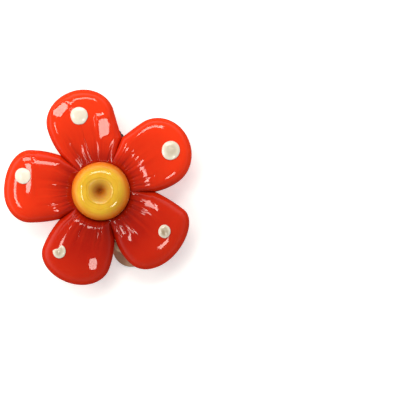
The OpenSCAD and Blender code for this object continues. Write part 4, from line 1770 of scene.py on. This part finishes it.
@dataclass
class Studio:
    """The pale floor, the soft lights and the camera over the floor."""

    aim: Point = CENTRE
    camera_at: Point = (19.52, -2.43)
    camera_z: float = 375.0
    face_z: float = 9.0
    field_w: float = 76.0
    sensor_w: float = 36.0
    floor_w: float = 4000.0
    light_tint: Colour = (1.0, 0.95, 0.86)
    sky: float = 0.40
    below: float = 0.06
    walls: Point = (0.25, 1.0)
    wall_way: Point = (-0.6, 0.8)
    wall_sides: Point = (-0.6, 0.9)
    ceiling: float = 0.12
    ceiling_at: Point = (0.3, 0.7)
    horizon: Point = (-0.05, 0.2)
    floor_finish: PaleFloor = field(default_factory=PaleFloor)
    lights: tuple[Softbox, ...] = (
        Softbox("window_above", -5.0, 25.0, 210.0, 125.0, 8.5),
        Softbox("pane_above", 9.0, 25.0, 36.0, 150.0, 11.0),
        Softbox("window_left", -23.0, -2.0, 190.0, 60.0, 11.0),
        Softbox("window_right", 15.0, -17.0, 100.0, 95.0, 10.0, lit=False),
        Softbox("ceiling", -34.0, 34.0, 700.0, 700.0, 2.5, 700.0, mirrored=False),
    )

    def build(self) -> None:
        """Makes the whole studio."""
        self.lay_floor()
        for light in self.lights:
            self.hang(light)
        self.glow_sky()
        self.aim_camera()

    def lay_floor(self) -> None:
        """Makes the floor."""
        half = self.floor_w / 2 * MM
        mesh = bpy.data.meshes.new("floor")
        corners = [(-half, -half, 0), (half, -half, 0), (half, half, 0), (-half, half, 0)]
        mesh.from_pydata(corners, [], [(0, 1, 2, 3)])
        floor = new_object("floor", mesh)
        floor.visible_glossy = False
        mesh.materials.append(self.floor_finish.make())

    def hang(self, light: Softbox) -> None:
        """Hangs a light and turns it to the flower.

        Args:
            light: The light.
        """
        lamp = bpy.data.lights.new(light.name, "AREA")
        lamp.shape, lamp.size, lamp.size_y = "RECTANGLE", light.across * MM, light.along * MM
        lamp.energy = light.glow * math.pi * lamp.size * lamp.size_y
        lamp.color = self.light_tint
        obj = bpy.data.objects.new(light.name, lamp)
        bpy.context.scene.collection.objects.link(obj)
        right, up = (math.tan(math.radians(angle)) for angle in (light.right, light.up))
        way = Vector((right, up, 1.0)).normalized()
        obj.location = Vector((*self.aim, self.face_z)) * MM + way * light.distance * MM
        obj.rotation_mode = "QUATERNION"
        obj.rotation_quaternion = way.to_track_quat("Z", "Y")
        obj.visible_glossy, obj.visible_diffuse = light.mirrored, light.lit

    def glow_sky(self) -> None:
        """Makes the even white light from all round, with dim walls and a dark ceiling in reflections."""
        world = bpy.data.worlds.new("white_room")
        world.use_nodes = True
        nodes = Nodes(world.node_tree)
        back = next(n for n in world.node_tree.nodes if n.type == "BACKGROUND")
        way = nodes.add("ShaderNodeTexCoord").outputs["Object"]
        _, _, high = nodes.split(way)
        side = nodes.facing(way, (*self.wall_way, 0.0))
        walls = nodes.ramp(side, *self.wall_sides, *self.walls)
        room = nodes.ramp(high, *self.ceiling_at, walls, self.ceiling)
        room = nodes.ramp(high, *self.horizon, self.below, room)
        path = nodes.add("ShaderNodeLightPath").outputs
        mirrored = path["Is Glossy Ray"]
        glow = nodes.plus(nodes.times(mirrored, room), nodes.times(nodes.minus(1.0, mirrored), self.sky))
        glow = nodes.math("MAXIMUM", glow, path["Is Camera Ray"])
        world.node_tree.links.new(glow, back.inputs["Strength"])
        back.inputs["Color"].default_value = (1.0, 1.0, 1.0, 1.0)
        bpy.context.scene.world = world
        bpy.context.scene.view_settings.view_transform = "Standard"

    def aim_camera(self) -> None:
        """Makes the camera, which looks straight down and has the flower at its left."""
        data = bpy.data.cameras.new("camera")
        data.sensor_width = self.sensor_w
        data.lens = self.sensor_w * (self.camera_z - self.face_z) / self.field_w
        data.clip_start, data.clip_end = 0.01, 20.0
        camera = bpy.data.objects.new("camera", data)
        bpy.context.scene.collection.objects.link(camera)
        camera.location = Vector((*self.camera_at, self.camera_z)) * MM
        bpy.context.scene.camera = camera


def main() -> None:
    """Builds the earring and its studio."""
    logging.basicConfig(level=logging.INFO, format="%(name)s: %(message)s")
    flower = Flower()
    flower.build()
    metal = WornPlating().make()
    others = [CentreBead(), Dots(flower.pieces[0]), ClipBase(metal), Paddle(metal), HingePin(metal)]
    for part in others:
        part.build()
    for part in (flower, *others):
        part.dress()
    Studio().build()


if __name__ == "__main__":
    main()
